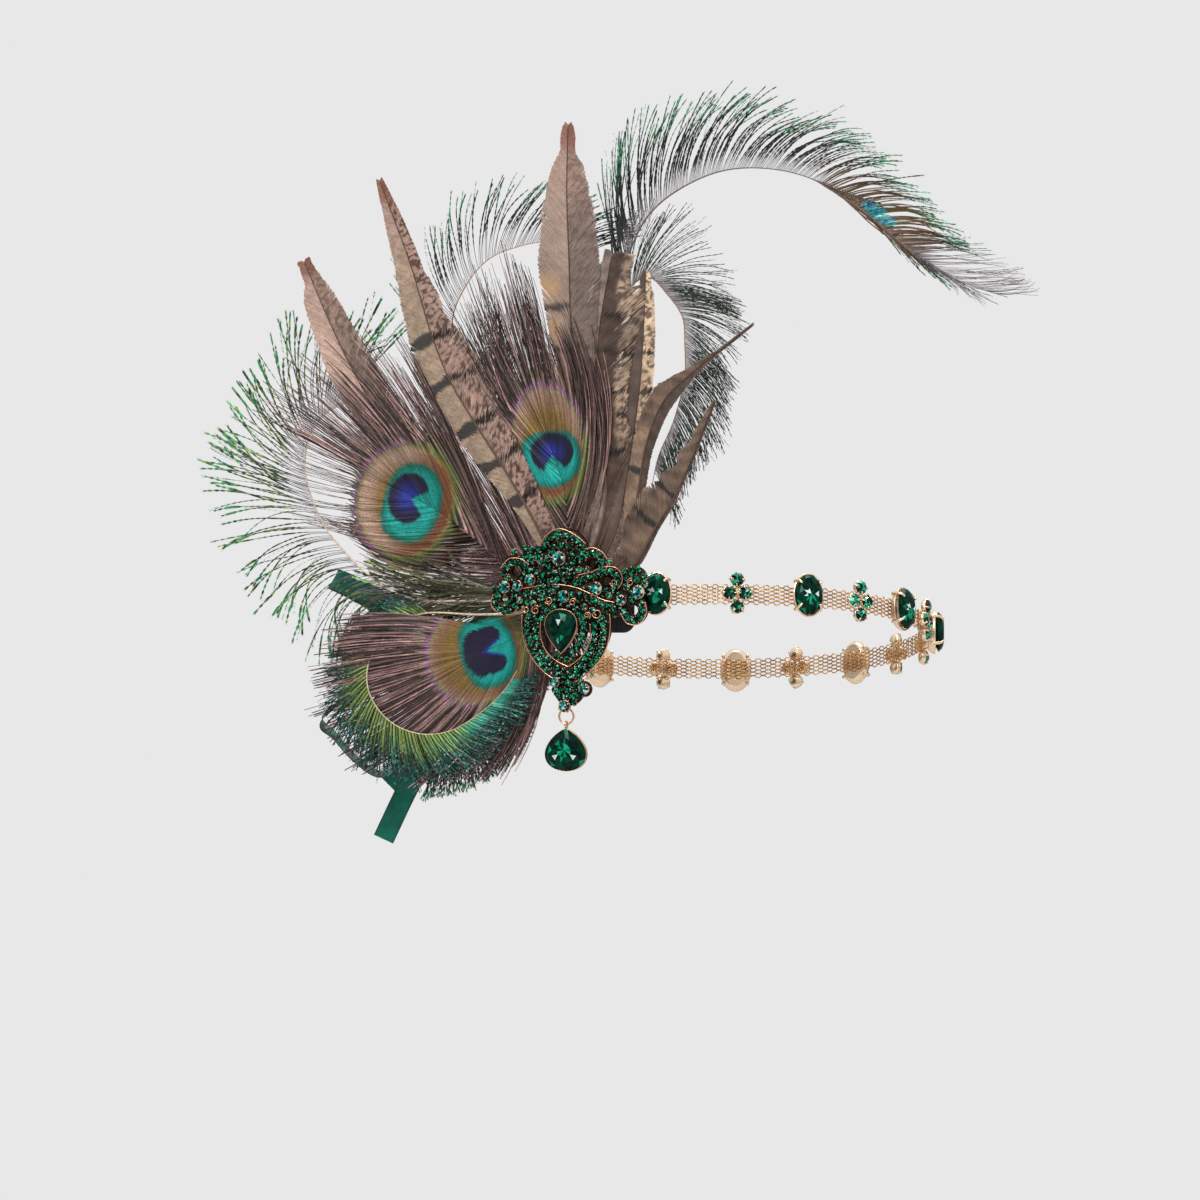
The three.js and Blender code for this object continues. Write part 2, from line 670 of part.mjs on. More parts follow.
// Peacock eye feathers. The vane is the eye itself, and locks of loose barbs stand beyond it
const EYE_FEATHERS = [
  {
    name: 'peacock_eye_feather_1',
    foot: 106,
    lastShare: 0.68,
    spine: [
      [-3, 27, 6.6], [-5, 47, 5.6], [-10, 61, 5.6], [-14, 76, 5.6], [-19, 99, 5.6], [-23, 126, 5.6],
      [-27, 149, 6.4],
    ],
    widths: [
      [0.16, 0.9, 0.9], [0.24, 9, 10], [0.365, 15, 16], [0.475, 17, 16], [0.58, 14, 13], [0.68, 4, 4],
    ],
    leftLocks: [[0.3, 38, 34, 6], [0.45, 32, 46, 6], [0.64, 8, 52, 6]],
    rightLocks: [[0.3, 30, 34, 6], [0.45, 26, 44, 6], [0.64, 8, 54, 6]],
    lockCount: 5,
  },
  {
    name: 'peacock_eye_feather_2',
    foot: 174,
    lastShare: 0.74,
    spine: [
      [-28, 7, 5.5], [-39, 17, 3], [-58, 32, 2], [-76, 42, 2], [-97, 53, 2], [-116, 68, 2],
      [-138, 88, 3],
    ],
    widths: [[0.2, 0.9, 0.9], [0.33, 8, 8], [0.42, 19, 20], [0.52, 23, 24], [0.62, 19, 19], [0.74, 5, 5]],
    leftLocks: [[0.38, 40, 50, 7], [0.55, 30, 58, 7], [0.72, 8, 56, 6]],
    rightLocks: [[0.3, 58, 52, 7], [0.5, 44, 58, 7], [0.72, 8, 58, 6]],
    lockCount: 7,
  },
  {
    name: 'peacock_eye_feather_3',
    foot: 222,
    lastShare: 0.6,
    spine: [[-22, -19, 5.6], [-39, -26, 4], [-59, -32, 4], [-83, -43, 4], [-109, -56, 5]],
    widths: [[0.14, 0.9, 0.9], [0.2, 12, 12], [0.325, 19, 20], [0.45, 16, 17], [0.6, 4, 4]],
    leftLocks: [[0.3, 45, 34, 6], [0.56, 10, 30, 5]],
    rightLocks: [[0.3, 40, 32, 6], [0.56, 10, 30, 5]],
    lockCount: 4,
  },
];

// Herl plumes: a curved rachis with one row of long locks. Lock rows: share, angle, length, width
const HERL_PLUMES = [
  {
    name: 'herl_plume_1',
    foot: 78,
    side: LEFT,
    lockCount: 16,
    spine: [
      [7, 27, 8.3], [14, 63, 12], [18, 112, 13], [22, 145, 13], [34, 168, 13], [58, 183, 13], [79, 187, 13],
      [106, 183, 13], [130, 170, 12], [155, 151, 10], [180, 136, 7], [205, 128, 4],
    ],
    locks: [
      [0.36, 22, 58, 8], [0.47, 42, 52, 9], [0.6, 46, 54, 10], [0.7, 48, 52, 10], [0.84, 46, 42, 9],
      [0.98, 32, 20, 6],
    ],
  },
  {
    name: 'herl_plume_2',
    foot: 122,
    side: LEFT,
    lockCount: 9,
    spine: [
      [-9, 27, 8.3], [-28, 52, 13], [-53, 94, 16.4], [-62, 119, 16.6], [-54, 138, 16.6], [-44, 148, 16.6],
      [-31, 153, 16.6], [-17, 155, 16.6], [9, 148, 16.6],
    ],
    locks: [[0.56, 48, 44, 8], [0.72, 48, 41, 8], [0.85, 46, 34, 8], [0.97, 40, 28, 6]],
  },
  {
    name: 'herl_plume_3',
    foot: 54,
    side: LEFT,
    lockCount: 11,
    spine: [
      [14, 27, 8.4], [19, 46, 11.4], [19, 63, 13], [18, 108, 14.8], [23, 134, 14.8], [32, 139, 14.8],
      [41, 131, 14.8], [48, 121, 14.8], [49, 109, 14.8], [49, 95, 14.8], [44, 75, 14], [37, 59, 13.4], [34, 45, 13],
    ],
    locks: [[0.5, 30, 42, 6], [0.58, 36, 42, 8], [0.66, 48, 32, 7], [0.8, 52, 33, 8], [0.97, 42, 24, 6]],
  },
  {
    name: 'herl_plume_4',
    foot: 190,
    side: LEFT,
    lockCount: 12,
    spine: [
      [-28, -4, 8.3], [-61, -5, 9.8], [-79, -4, 10.2], [-96, 4, 10.2], [-110, 16, 10.2], [-121, 29, 10.2],
      [-127, 42, 10.2], [-130, 55, 10.2], [-128, 68, 10.2], [-120, 79, 10.2], [-104, 86, 11],
    ],
    locks: [
      [0.3, 36, 66, 9], [0.45, 48, 62, 10], [0.6, 54, 50, 10], [0.75, 50, 54, 10], [0.9, 46, 56, 10],
      [0.98, 34, 50, 8],
    ],
  },
  {
    name: 'herl_plume_5',
    foot: 206,
    side: RIGHT,
    lockCount: 12,
    spine: [
      [-27, -10, 8], [-46, -11, 7.4], [-74, -11, 7.2], [-88, -19, 6], [-97, -33, 3.4], [-96, -46, 1.8],
      [-87, -58, 1.6], [-73, -64, 1.6], [-58, -63, 1.6], [-42, -54, 1.6], [-31, -44, 1.6], [-25, -35, 1.6],
    ],
    locks: [[0.46, 50, 22, 7], [0.62, 56, 26, 8], [0.78, 58, 23, 8], [0.97, 48, 14, 6]],
  },
  {
    name: 'herl_plume_6',
    foot: 258,
    side: LEFT,
    lockCount: 6,
    spine: [
      [-6, -26, 8.3], [-11, -37, 8.6], [-21, -48, 8.6], [-34, -63, 8.6], [-54, -77, 8.6],
      [-74, -84, 8.6],
    ],
    locks: [[0.45, 88, 12, 5], [0.7, 85, 14, 6], [0.96, 60, 12, 5]],
  },
];

function pheasantFeather({ foot, spine, widths }) {
  return vane(featherSpine(foot, VANE_FOOT_DEPTH, spine), widths, 1);
}

function eyeFeather({ foot, spine, widths, lastShare, leftLocks, rightLocks, lockCount }) {
  const path = featherSpine(foot, VANE_FOOT_DEPTH, spine);
  const locks = [
    ...lockRow(path, LEFT, leftLocks, lockCount),
    ...lockRow(path, RIGHT, rightLocks, lockCount),
  ];
  return fuse(vane(path, widths, lastShare), ...locks);
}

function herlPlume({ foot, side, spine, locks, lockCount }) {
  const path = featherSpine(foot, PLUME_FOOT_DEPTH, spine);
  return fuse(rachis(path, RACHIS_STEPS), ...lockRow(path, side, locks, lockCount));
}

// Ribbon

// A ribbon along a path, with its width turned towards a chosen direction
function ribbonStrip(rows, widthways, steps) {
  const path = new THREE.CatmullRomCurve3(rows.map((row) => point(...row)), false, 'centripetal');
  const rings = [];
  for (let i = 0; i <= steps; i += 1) {
    const place = path.getPointAt(i / steps);
    const along = path.getTangentAt(i / steps);
    const across = point(...widthways);
    across.addScaledVector(along, -across.dot(along)).setLength(RIBBON_WIDTH / 2);
    const through = along.clone().cross(across).setLength(RIBBON_THICKNESS / 2);
    const corner = (a, b) => place.clone().addScaledVector(across, a).addScaledVector(through, b);
    rings.push([corner(1, 1), corner(-1, 1), corner(-1, -1), corner(1, -1)]);
  }
  return loft(rings);
}

const KNOT = [-117, 2, -14];
const KNOT_SIZE = [9, 11, 13];
const KNOT_SIDES = 10;
const KNOT_ROWS = 7;

// Ribbon pieces: path rows of x, y and z, the direction of the ribbon's width, and the steps along it
const RIBBONS = [
  {
    name: 'ribbon_near',
    path: [
      [-75.4, -61, 17], [-81.9, -58.4, 16], [-93, -50, 12], [-107, -33, 2], [-115, -12, -9],
      [-117, -4.2, -13],
    ],
    widthways: [0, 0, 1],
    steps: 10,
  },
  {
    name: 'ribbon_far',
    path: [[-64.7, 63.5, -13.1], [-82, 53, -14], [-102, 32, -14], [-114, 14, -14], [-117, 8, -14]],
    widthways: [0, 0.2, 1],
    steps: 10,
  },
  {
    name: 'bow_loop_upper',
    path: [
      [-121, -0.6, -11], [-142, -8, 8], [-162, -9, 20], [-172, -2, 24], [-162, 6, 19], [-142, 8, 7],
      [-121.2, 4.4, -11.4],
    ],
    widthways: [0.5, 0, 0.85],
    steps: 22,
  },
  {
    name: 'bow_loop_lower',
    path: [
      [-121.2, 0, -17.2], [-145, -6, -25], [-167, -8, -31], [-177, -4, -40], [-171, 2, -47], [-162, 4, -57],
      [-151, 5, -64], [-140, 5, -60], [-130, 4, -44], [-120.9, 2.4, -20],
    ],
    widthways: [0.12, 1, 0.3],
    steps: 26,
  },
  {
    name: 'ribbon_tail_long',
    path: [[-114, 0.6, -21.8], [-119, -8, -36], [-129, -12, -54], [-138, -12, -70], [-149, -12, -93]],
    widthways: [1, 0.25, 0],
    steps: 12,
  },
  {
    name: 'ribbon_tail_short',
    path: [[-114.2, 3.8, -20.9], [-118, 13, -38], [-132, 14, -54], [-147, 13, -69]],
    widthways: [1, 0.3, 0],
    steps: 10,
  },
];

function bowKnot() {
  const [width, depth, height] = KNOT_SIZE;
  const knot = new THREE.SphereGeometry(1 / 2, KNOT_SIDES, KNOT_ROWS);
  return geometryOf(solidOf(knot.scale(width, depth, height).translate(...KNOT)));
}

// Assembly

const headpiece = new THREE.Group();

const loop = new THREE.Group();
loop.rotation.x = -LOOP_LEAN;
headpiece.add(loop);

const nearEnd = loopAngle(BAND_NEAR_END_X, NEAR);
const farEnd = loopAngle(BAND_FAR_END_X, FAR);
const bandJoint = loopAngle(LOOP_HALF_LENGTH, NEAR);
const jointGap = GAP / 2 / LOOP_HALF_WIDTH;
const bandSteps = (angle) => Math.ceil(Math.abs(angle) * (LOOP_HALF_LENGTH / BAND_STEP));
loop.add(
  mesh('mesh_band_near', bandStrip(nearEnd, bandJoint - jointGap, bandSteps(nearEnd)), 'mesh'),
  mesh('mesh_band_far', bandStrip(bandJoint + jointGap, farEnd, bandSteps(farEnd)), 'mesh'),
);

// Stands an ornament on the band's outer face, with its front outwards
function onBand({ x, strand }, ...pieces) {
  const angle = loopAngle(x, strand);
  const outward = loopOutward(angle);
  const ornament = new THREE.Group();
  ornament.position.copy(loopPoint(angle)).addScaledVector(outward, BAND_THICKNESS / 2 + GAP);
  ornament.rotation.z = Math.atan2(outward.x, -outward.y);
  ornament.add(...pieces);
  loop.add(ornament);
}

OVALS.forEach((place, i) => {
  const setting = mesh(`oval_setting_${i + 1}`, ovalSetting(), 'gilt');
  const stone = mesh(`oval_stone_${i + 1}`, ovalStone(), 'emerald');
  onBand(place, setting, stone);
});
CROSSES.forEach((place, i) => onBand(place, mesh(`cross_cluster_${i + 1}`, crossCluster(), 'emerald')));

const spray = new THREE.Group();
spray.position.set(...SPRAY_PLACE);
spray.rotation.z = SPRAY_TURN;
headpiece.add(spray);

function feltBacking() {
  const [x, z] = FELT_CENTRE;
  const [left, right] = [x - FELT_WIDTH / 2, x + FELT_WIDTH / 2];
  const [bottom, top] = [z - FELT_HEIGHT / 2, z + FELT_HEIGHT / 2];
  const shape = new THREE.Shape();
  shape.absarc(right - FELT_CORNER, bottom + FELT_CORNER, FELT_CORNER, -Math.PI / 2, 0);
  shape.absarc(right - FELT_CORNER, top - FELT_CORNER, FELT_CORNER, 0, Math.PI / 2);
  shape.absarc(left + FELT_CORNER, top - FELT_CORNER, FELT_CORNER, Math.PI / 2, Math.PI);
  shape.absarc(left + FELT_CORNER, bottom + FELT_CORNER, FELT_CORNER, Math.PI, Math.PI * 1.5);
  return plate(shape, FELT_FRONT, FELT_THICKNESS);
}

const jumpRing = wireRing(JUMP_RADIUS, JUMP_WIRE, false).translate(RING_X, RING_DEPTH, JUMP_HEIGHT);
spray.add(
  mesh('felt_backing', feltBacking(), 'felt'),
  mesh('brooch_frame', broochFrame(), 'gilt'),
  mesh('pear_stone', pearStone(), 'emerald'),
  mesh('drop_jump_ring', jumpRing, 'gilt'),
  mesh('drop_setting', dropSetting(), 'gilt'),
  mesh('drop_stone', dropStone(), 'emerald'),
  ...PHEASANTS.map((feather) => mesh(feather.name, pheasantFeather(feather), 'pheasant')),
  ...EYE_FEATHERS.map((feather) => mesh(feather.name, eyeFeather(feather), 'eyeFeather')),
  ...HERL_PLUMES.map((plume) => mesh(plume.name, herlPlume(plume), 'herl')),
);

const ribbonPiece = ({ name, path, widthways, steps }) =>
  mesh(name, ribbonStrip(path, widthways, steps), 'ribbon');
headpiece.add(mesh('bow_knot', bowKnot(), 'ribbon'), ...RIBBONS.map(ribbonPiece));

export default headpiece;
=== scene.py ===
"""Looks of the flapper headpiece: feathers, mesh band, stones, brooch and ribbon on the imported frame.

The spines, tables and sizes repeat the part's own values, in millimetres, and turn into metres when a
mesh is made. Directions in the feather spray are right, behind and up, as seen from the brooch side.
"""

import math

import bpy
import numpy as np
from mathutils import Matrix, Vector


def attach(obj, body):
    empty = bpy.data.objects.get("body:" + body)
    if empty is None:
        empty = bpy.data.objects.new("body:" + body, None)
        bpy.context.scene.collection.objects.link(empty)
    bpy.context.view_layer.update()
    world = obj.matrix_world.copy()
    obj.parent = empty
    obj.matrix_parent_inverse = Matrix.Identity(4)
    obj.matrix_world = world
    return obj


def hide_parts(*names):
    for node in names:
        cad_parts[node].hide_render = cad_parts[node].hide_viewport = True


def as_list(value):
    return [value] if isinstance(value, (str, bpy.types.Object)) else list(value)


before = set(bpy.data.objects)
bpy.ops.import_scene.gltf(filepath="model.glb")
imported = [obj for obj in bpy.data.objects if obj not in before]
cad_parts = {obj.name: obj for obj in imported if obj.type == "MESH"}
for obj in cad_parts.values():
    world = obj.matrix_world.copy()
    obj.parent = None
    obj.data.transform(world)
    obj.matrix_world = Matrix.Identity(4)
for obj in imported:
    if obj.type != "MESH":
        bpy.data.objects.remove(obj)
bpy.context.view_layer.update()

MM = 0.001
SEED = 1925

# View of the photograph
PICTURE_SPAN = 0.540
AIM = (-0.05175, 0.0, 0.0144)
LENS = 400.0
SENSOR = 36.0

# Head loop
LOOP_HALF_LENGTH = 95.0
LOOP_HALF_WIDTH = 83.0
LOOP_ROUNDNESS = 2.2
LOOP_LEAN = math.radians(11.8)
BAND_WIDTH = 9.0
BAND_THICKNESS = 1.2
BAND_NEAR_END_X = -35.6
BAND_FAR_END_X = -63.5
GAP = 0.3
NEAR = -1
FAR = 1

# Brooch spray
SPRAY_PLACE = np.array([-65.25, -77.0, 18.9])
SPRAY_TURN = math.radians(20)
SPRAY_COS = math.cos(SPRAY_TURN)
SPRAY_SIN = math.sin(SPRAY_TURN)
FELT_FRONT = 9.3
QUILL_RING = 11.0
QUILL_RADIUS = 0.8
VANE_FOOT_DEPTH = FELT_FRONT - GAP
PLUME_FOOT_DEPTH = VANE_FOOT_DEPTH - QUILL_RADIUS


# Colour

def linear(red, green, blue):
    """A display colour of 0 to 255 as scene-linear values."""
    share = np.array([red, green, blue], float) / 255
    return np.where(share <= 0.04045, share / 12.92, ((share + 0.055) / 1.055) ** 2.4)


def mix(first, second, share):
    """Blends two colours, or arrays of them, by an array of shares."""
    share = np.asarray(share, float)[..., None]
    return np.asarray(first) * (1 - share) + np.asarray(second) * share


def smoothstep(low, high, value):
    share = np.clip((value - low) / (high - low), 0, 1)
    return share * share * (3 - 2 * share)


# Facet colours of the large stones: deep and body tones, a painted reflection that glows in the table, and
# painted glints
GEM_DEEP = linear(0, 22, 17)
GEM_BODY = linear(0, 66, 48)
GEM_PAINTED_REFLECTION = linear(24, 188, 142)
GEM_PAINTED_GLINT = linear(226, 252, 242)
# The row of a large stone's cut where its table starts
TABLE_ROW = 3
# Half sizes of the painted reflection in a table, in shares of the stone's, and how often facets there, on
# the rest of the table and on the crown are painted lit
PAINTED_GLOW_HALF_HEIGHT = 0.3
PAINTED_GLOW_HALF_WIDTH = 0.4
LIT_IN_PAINTED_GLOW = 0.9
LIT_ON_TABLE = 0.04
LIT_ON_CROWN = 0.08
# How much farther from a painted glint a facet off the table counts as
OFF_TABLE = 9


# Mesh making

WHITE = (1.0, 1.0, 1.0)
PLAIN_UV_SCALE = 0.01
TINY = 1e-9
NEARLY_UPRIGHT = 0.1


def unit(vectors):
    """Vectors at a length of 1."""
    return vectors / np.maximum(np.linalg.norm(vectors, axis=-1, keepdims=True), TINY)


def run_lengths(line):
    """How far along a line each of its points lies."""
    return np.concatenate([[0], np.cumsum(np.linalg.norm(np.diff(line, axis=0), axis=1))])


def round_angles(count, turn=0.0):
    """Even angles round a circle, from a share of one step on."""
    return 2 * math.pi * (np.arange(count) + turn) / count


def bent(start, elbow, end, share):
    """A curve from a start to an end that bends at an elbow."""
    return (1 - share) ** 2 * start + 2 * share * (1 - share) * elbow + share**2 * end


class Piece:
    """Gathers the parts of one mesh: points in millimetres, faces, tints, UVs and materials."""

    def __init__(self):
        self.points = []
        self.tints = []
        self.uvs = []
        self.faces = []
        self.slots = []
        self.smooth = []
        self.count = 0

    def add(self, points, *faces, tint=WHITE, uv=None, slot=0, smooth=True):
        """Adds points with one or more arrays of faces over them."""
        points = np.asarray(points, float).reshape(-1, 3)
        self.points.append(points)
        self.tints.append(np.broadcast_to(np.reshape(tint, (-1, 3)), points.shape))
        flat = points[:, [0, 2]] * PLAIN_UV_SCALE
        self.uvs.append(flat if uv is None else np.reshape(uv, (-1, 2)))
        for part in faces:
            self.faces.append(np.asarray(part, int) + self.count)
            self.slots.append(np.full(len(part), slot))
            self.smooth.append(np.full(len(part), smooth))
        self.count += len(points)

    def build(self, name, materials, body="root", replaces=(), slot=None):
        mesh = bpy.data.meshes.new(name)
        points = np.concatenate(self.points) * MM
        corners = np.concatenate([part.ravel() for part in self.faces])
        sizes = np.concatenate([np.full(len(part), part.shape[1]) for part in self.faces])
        mesh.vertices.add(len(points))
        mesh.vertices.foreach_set("co", points.astype(np.float32).ravel())
        mesh.loops.add(len(corners))
        mesh.loops.foreach_set("vertex_index", corners.astype(np.int32))
        mesh.polygons.add(len(sizes))
        starts = np.concatenate([[0], np.cumsum(sizes)[:-1]])
        mesh.polygons.foreach_set("loop_start", starts.astype(np.int32))
        mesh.polygons.foreach_set("material_index", np.concatenate(self.slots).astype(np.int32))
        mesh.polygons.foreach_set("use_smooth", np.concatenate(self.smooth))
        mesh.update(calc_edges=True)
        rgba = np.ones((len(points), 4), np.float32)
        rgba[:, :3] = np.clip(np.concatenate(self.tints), 0, 1)
        tint = mesh.color_attributes.new("tint", "FLOAT_COLOR", "POINT")
        tint.data.foreach_set("color", rgba.ravel())
        layer = mesh.uv_layers.new(name="flat")
        layer.data.foreach_set("uv", np.concatenate(self.uvs)[corners].astype(np.float32).ravel())
        for made in materials:
            mesh.materials.append(made)
        piece = bpy.data.objects.new(name, mesh)
        bpy.context.scene.collection.objects.link(piece)
        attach(piece, body)
        if replaces:
            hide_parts(*replaces)
        return piece


def grid_faces(rows, columns, closed=False):
    """Quads over a grid of points, row by row, joined round its columns where closed."""
    across = columns if closed else columns - 1
    row, column = np.meshgrid(np.arange(rows - 1), np.arange(across), indexing="ij")
    after = (column + 1) % columns
    corners = [row * columns + column, row * columns + after]
    corners += [(row + 1) * columns + after, (row + 1) * columns + column]
    return np.stack(corners, -1).reshape(-1, 4)


def strip_faces(count, steps):
    """Quads of many two-column strips, whose points run strip by strip and step by step."""
    one = grid_faces(steps, 2)
    return (np.arange(count)[:, None, None] * steps * 2 + one).reshape(-1, 4)


def fan_faces(start, count, tip, flip=False):
    """Triangles from a ring of points to one tip."""
    ring = start + np.arange(count)
    after = start + (np.arange(count) + 1) % count
    order = [after, ring] if flip else [ring, after]
    return np.stack([*order, np.full(count, tip)], -1)


def sweep_frames(path):
    """Two directions across a path, carried along it without twist."""
    along = unit(np.gradient(path, axis=0))
    first = np.cross(along[0], [0.0, 0.0, 1.0])
    if np.linalg.norm(first) < NEARLY_UPRIGHT:
        first = np.cross(along[0], [1.0, 0.0, 0.0])
    sides = [unit(first)]
    for direction in along[1:]:
        sides.append(unit(sides[-1] - direction * np.dot(sides[-1], direction)))
    sides = np.array(sides)
    return sides, np.cross(along, sides)


def add_tube(piece, path, radius, sides=8, tint=WHITE, closed=False):
    """A round tube along a path, with pointed caps unless it is closed on itself."""
    path = np.asarray(path, float)
    if closed:
        path = np.vstack([path, path[:1]])
    radius = np.broadcast_to(radius, len(path))
    first, second = sweep_frames(path)
    angle = round_angles(sides)
    ring = np.cos(angle)[:, None] * first[:, None] + np.sin(angle)[:, None] * second[:, None]
    points = (path[:, None] + radius[:, None, None] * ring).reshape(-1, 3)
    tints = np.broadcast_to(np.reshape(tint, (-1, 1, 3)), (len(path), sides, 3)).reshape(-1, 3)
    faces = grid_faces(len(path), sides, True)
    last = (len(path) - 1) * sides
    if closed:
        piece.add(points[:last], faces % last, tint=tints[:last])
        return
    points = np.vstack([points, path[:1], path[-1:]])
    tints = np.vstack([tints, tints[:1], tints[-1:]])
    caps = fan_faces(0, sides, len(points) - 2, True), fan_faces(last, sides, len(points) - 1)
    piece.add(points, faces, *caps, tint=tints)


def add_lathe(piece, profile, sides, place, slot=0):
    """A turned shape. The profile gives radius and reach to the front, and place maps right, front, up."""
    profile = np.asarray(profile, float)
    angle = round_angles(sides, 0.5)
    right, up = profile[:, :1] * np.cos(angle), profile[:, :1] * np.sin(angle)
    front = np.repeat(profile[:, 1:], sides, axis=1)
    points = place(np.stack([right, front, up], -1).reshape(-1, 3))
    piece.add(points, grid_faces(len(profile), sides, True)[:, ::-1], slot=slot)


def gem_facets(outline, rows, sides):
    """Triangles of a cut stone in order from its back to the middle of its table, and the row each leaves.

    Each row gives a share of the outline, a reach to the front and half turns.
    """
    rings = []
    for share, reach, turn in rows:
        right, up = outline(round_angles(sides, turn))
        rings.append(np.stack([share * right, np.full(sides, reach), share * up], -1))
    after = [np.roll(ring, -1, axis=0) for ring in rings]
    back, table = (np.broadcast_to(ring.mean(axis=0), ring.shape) for ring in (rings[0], rings[-1]))
    facets = [(back, after[0], rings[0])]
    leaves = [0]
    for index in range(len(rows) - 1):
        low, high = rings[index : index + 2]
        low_after, high_after = after[index : index + 2]
        if rows[index + 1][2] > rows[index][2]:
            facets += [(high, low_after, low), (high, high_after, low_after)]
        else:
            facets += [(high_after, low_after, low), (high, high_after, low)]
        leaves += [index, index]
    facets.append((table, rings[-1], after[-1]))
    leaves.append(len(rows) - 1)
    return np.concatenate([np.stack(row, 1) for row in facets]), np.repeat(leaves, sides)


def gem_tints(facets, on_table, glow, painted_glints, rng):
    """Facet tints: deep tones, a painted reflection about one height of the table and painted glints at
    places.
    """
    middles = facets.mean(axis=1)[:, [0, 2]] / np.abs(facets[..., [0, 2]]).max(axis=(0, 1))
    height, strength = glow
    right, up = middles[:, 0] / PAINTED_GLOW_HALF_WIDTH, (middles[:, 1] - height) / PAINTED_GLOW_HALF_HEIGHT
    near = np.exp(-(up**2) - right**2)
    bright = np.where(on_table, LIT_ON_TABLE + LIT_IN_PAINTED_GLOW * near, LIT_ON_CROWN) * strength
    tints = mix(GEM_DEEP, GEM_BODY, rng.random(len(facets)))
    # Painted reflection on lit facets, and painted glints on the facets nearest the given places
    lit = rng.random(len(facets)) < bright
    tints[lit] = mix(GEM_BODY, GEM_PAINTED_REFLECTION, rng.uniform(0.3, 1.0, lit.sum()))
    for place in painted_glints:
        tints[np.argmin(np.hypot(*(middles - place).T) + OFF_TABLE * ~on_table)] = GEM_PAINTED_GLINT
    return np.repeat(tints[:, None], 3, axis=1)


def add_gem(piece, outline, cut, seat, depth, sides, lights, place, rng):
    """A foil-backed cut stone, whose facet tints carry painted reflections and painted glints."""
    rows = [(share, seat + depth * reach, turn) for share, reach, turn in cut]
    facets, leaves = gem_facets(outline, rows, sides)
    tints = gem_tints(facets, leaves >= TABLE_ROW, *lights, rng)
    faces = np.arange(len(facets) * 3).reshape(-1, 3)
    piece.add(place(facets.reshape(-1, 3)), faces, tint=tints, smooth=False)


# Places

def spray_place(points):
    """Right, behind and up in the spray, as places in the frame."""
    points = np.asarray(points, float)
    right, behind, up = points[..., 0], points[..., 1], points[..., 2]
    x = SPRAY_PLACE[0] + right * SPRAY_COS + behind * SPRAY_SIN
    y = SPRAY_PLACE[1] - right * SPRAY_SIN + behind * SPRAY_COS
    return np.stack([x, y, SPRAY_PLACE[2] + up], -1)


def loop_lean(points):
    """Places on the level loop, leaned up towards the brooch side."""
    points = np.asarray(points, float)
    y = points[..., 1] * math.cos(LOOP_LEAN) + points[..., 2] * math.sin(LOOP_LEAN)
    z = points[..., 2] * math.cos(LOOP_LEAN) - points[..., 1] * math.sin(LOOP_LEAN)
    return np.stack([points[..., 0], y, z], -1)


def loop_angle(x, strand):
    cosine = math.copysign(abs(x / LOOP_HALF_LENGTH) ** (LOOP_ROUNDNESS / 2), x)
    return strand * math.acos(cosine)


def loop_point(angle):
    angle = np.asarray(angle, float)
    power = 2 / LOOP_ROUNDNESS
    x = LOOP_HALF_LENGTH * np.sign(np.cos(angle)) * np.abs(np.cos(angle)) ** power
    y = LOOP_HALF_WIDTH * np.sign(np.sin(angle)) * np.abs(np.sin(angle)) ** power
    return np.stack([x, y, np.zeros_like(x)], -1)


def loop_outward(angle):
    step = 0.01
    along = unit(loop_point(np.asarray(angle) + step) - loop_point(np.asarray(angle) - step))
    return np.stack([along[..., 1], -along[..., 0], np.zeros_like(along[..., 0])], -1)


def band_place(x, strand):
    """A mapping of right, front and up on the band's outer face at one place of the loop."""
    angle = loop_angle(x, strand)
    outward = loop_outward(angle)
    along = np.array([-outward[1], outward[0], 0.0])
    origin = loop_point(angle) + outward * (BAND_THICKNESS / 2 + GAP)

    def place(points):
        points = np.asarray(points, float)
        flat = origin + points[..., :1] * along + points[..., 1:2] * outward
        return loop_lean(flat + points[..., 2:] * np.array([0.0, 0.0, 1.0]))

    return place


# Splines

class Spine:
    """A centripetal Catmull-Rom spline, read by its share of the whole length."""

    SAMPLES = 48

    def __init__(self, rows):
        rows = np.asarray(rows, float)
        rows = np.vstack([2 * rows[0] - rows[1], rows, 2 * rows[-1] - rows[-2]])
        share = np.linspace(0, 1, self.SAMPLES, endpoint=False)[:, None]
        runs = []
        for a, b, c, d in zip(rows[:-3], rows[1:-2], rows[2:-1], rows[3:]):
            pairs = ((a, b), (b, c), (c, d))
            before, between, past = (math.sqrt(np.linalg.norm(end - start)) for start, end in pairs)
            start = ((b - a) / before - (c - a) / (before + between) + (c - b) / between) * between
            end = ((c - b) / between - (d - b) / (between + past) + (d - c) / past) * between
            square = -3 * b + 3 * c - 2 * start - end
            cube = 2 * b - 2 * c + start + end
            runs.append(b + start * share + square * share**2 + cube * share**3)
        self.points = np.vstack([*runs, rows[-2:-1]])
        self.lengths = run_lengths(self.points)
        self.length = self.lengths[-1]

    def at(self, share):
        reach = np.asarray(share, float) * self.length
        return np.stack([np.interp(reach, self.lengths, self.points[:, k]) for k in range(3)], -1)

    def frames(self, share):
        """Place, direction in the spray's plane, and left as seen from the front."""
        step = 0.004
        share = np.asarray(share, float)
        along = self.at(np.clip(share + step, 0, 1)) - self.at(np.clip(share - step, 0, 1))
        along[..., 1] = 0
        along = unit(along)
        left = np.stack([-along[..., 2], np.zeros_like(share), along[..., 0]], -1)
        return self.at(share), along, left

    def share_at_height(self, height):
        """The share where the spine first climbs to a height."""
        heights = self.points[:, 2]
        return self.lengths[np.argmax(heights >= height)] / self.length


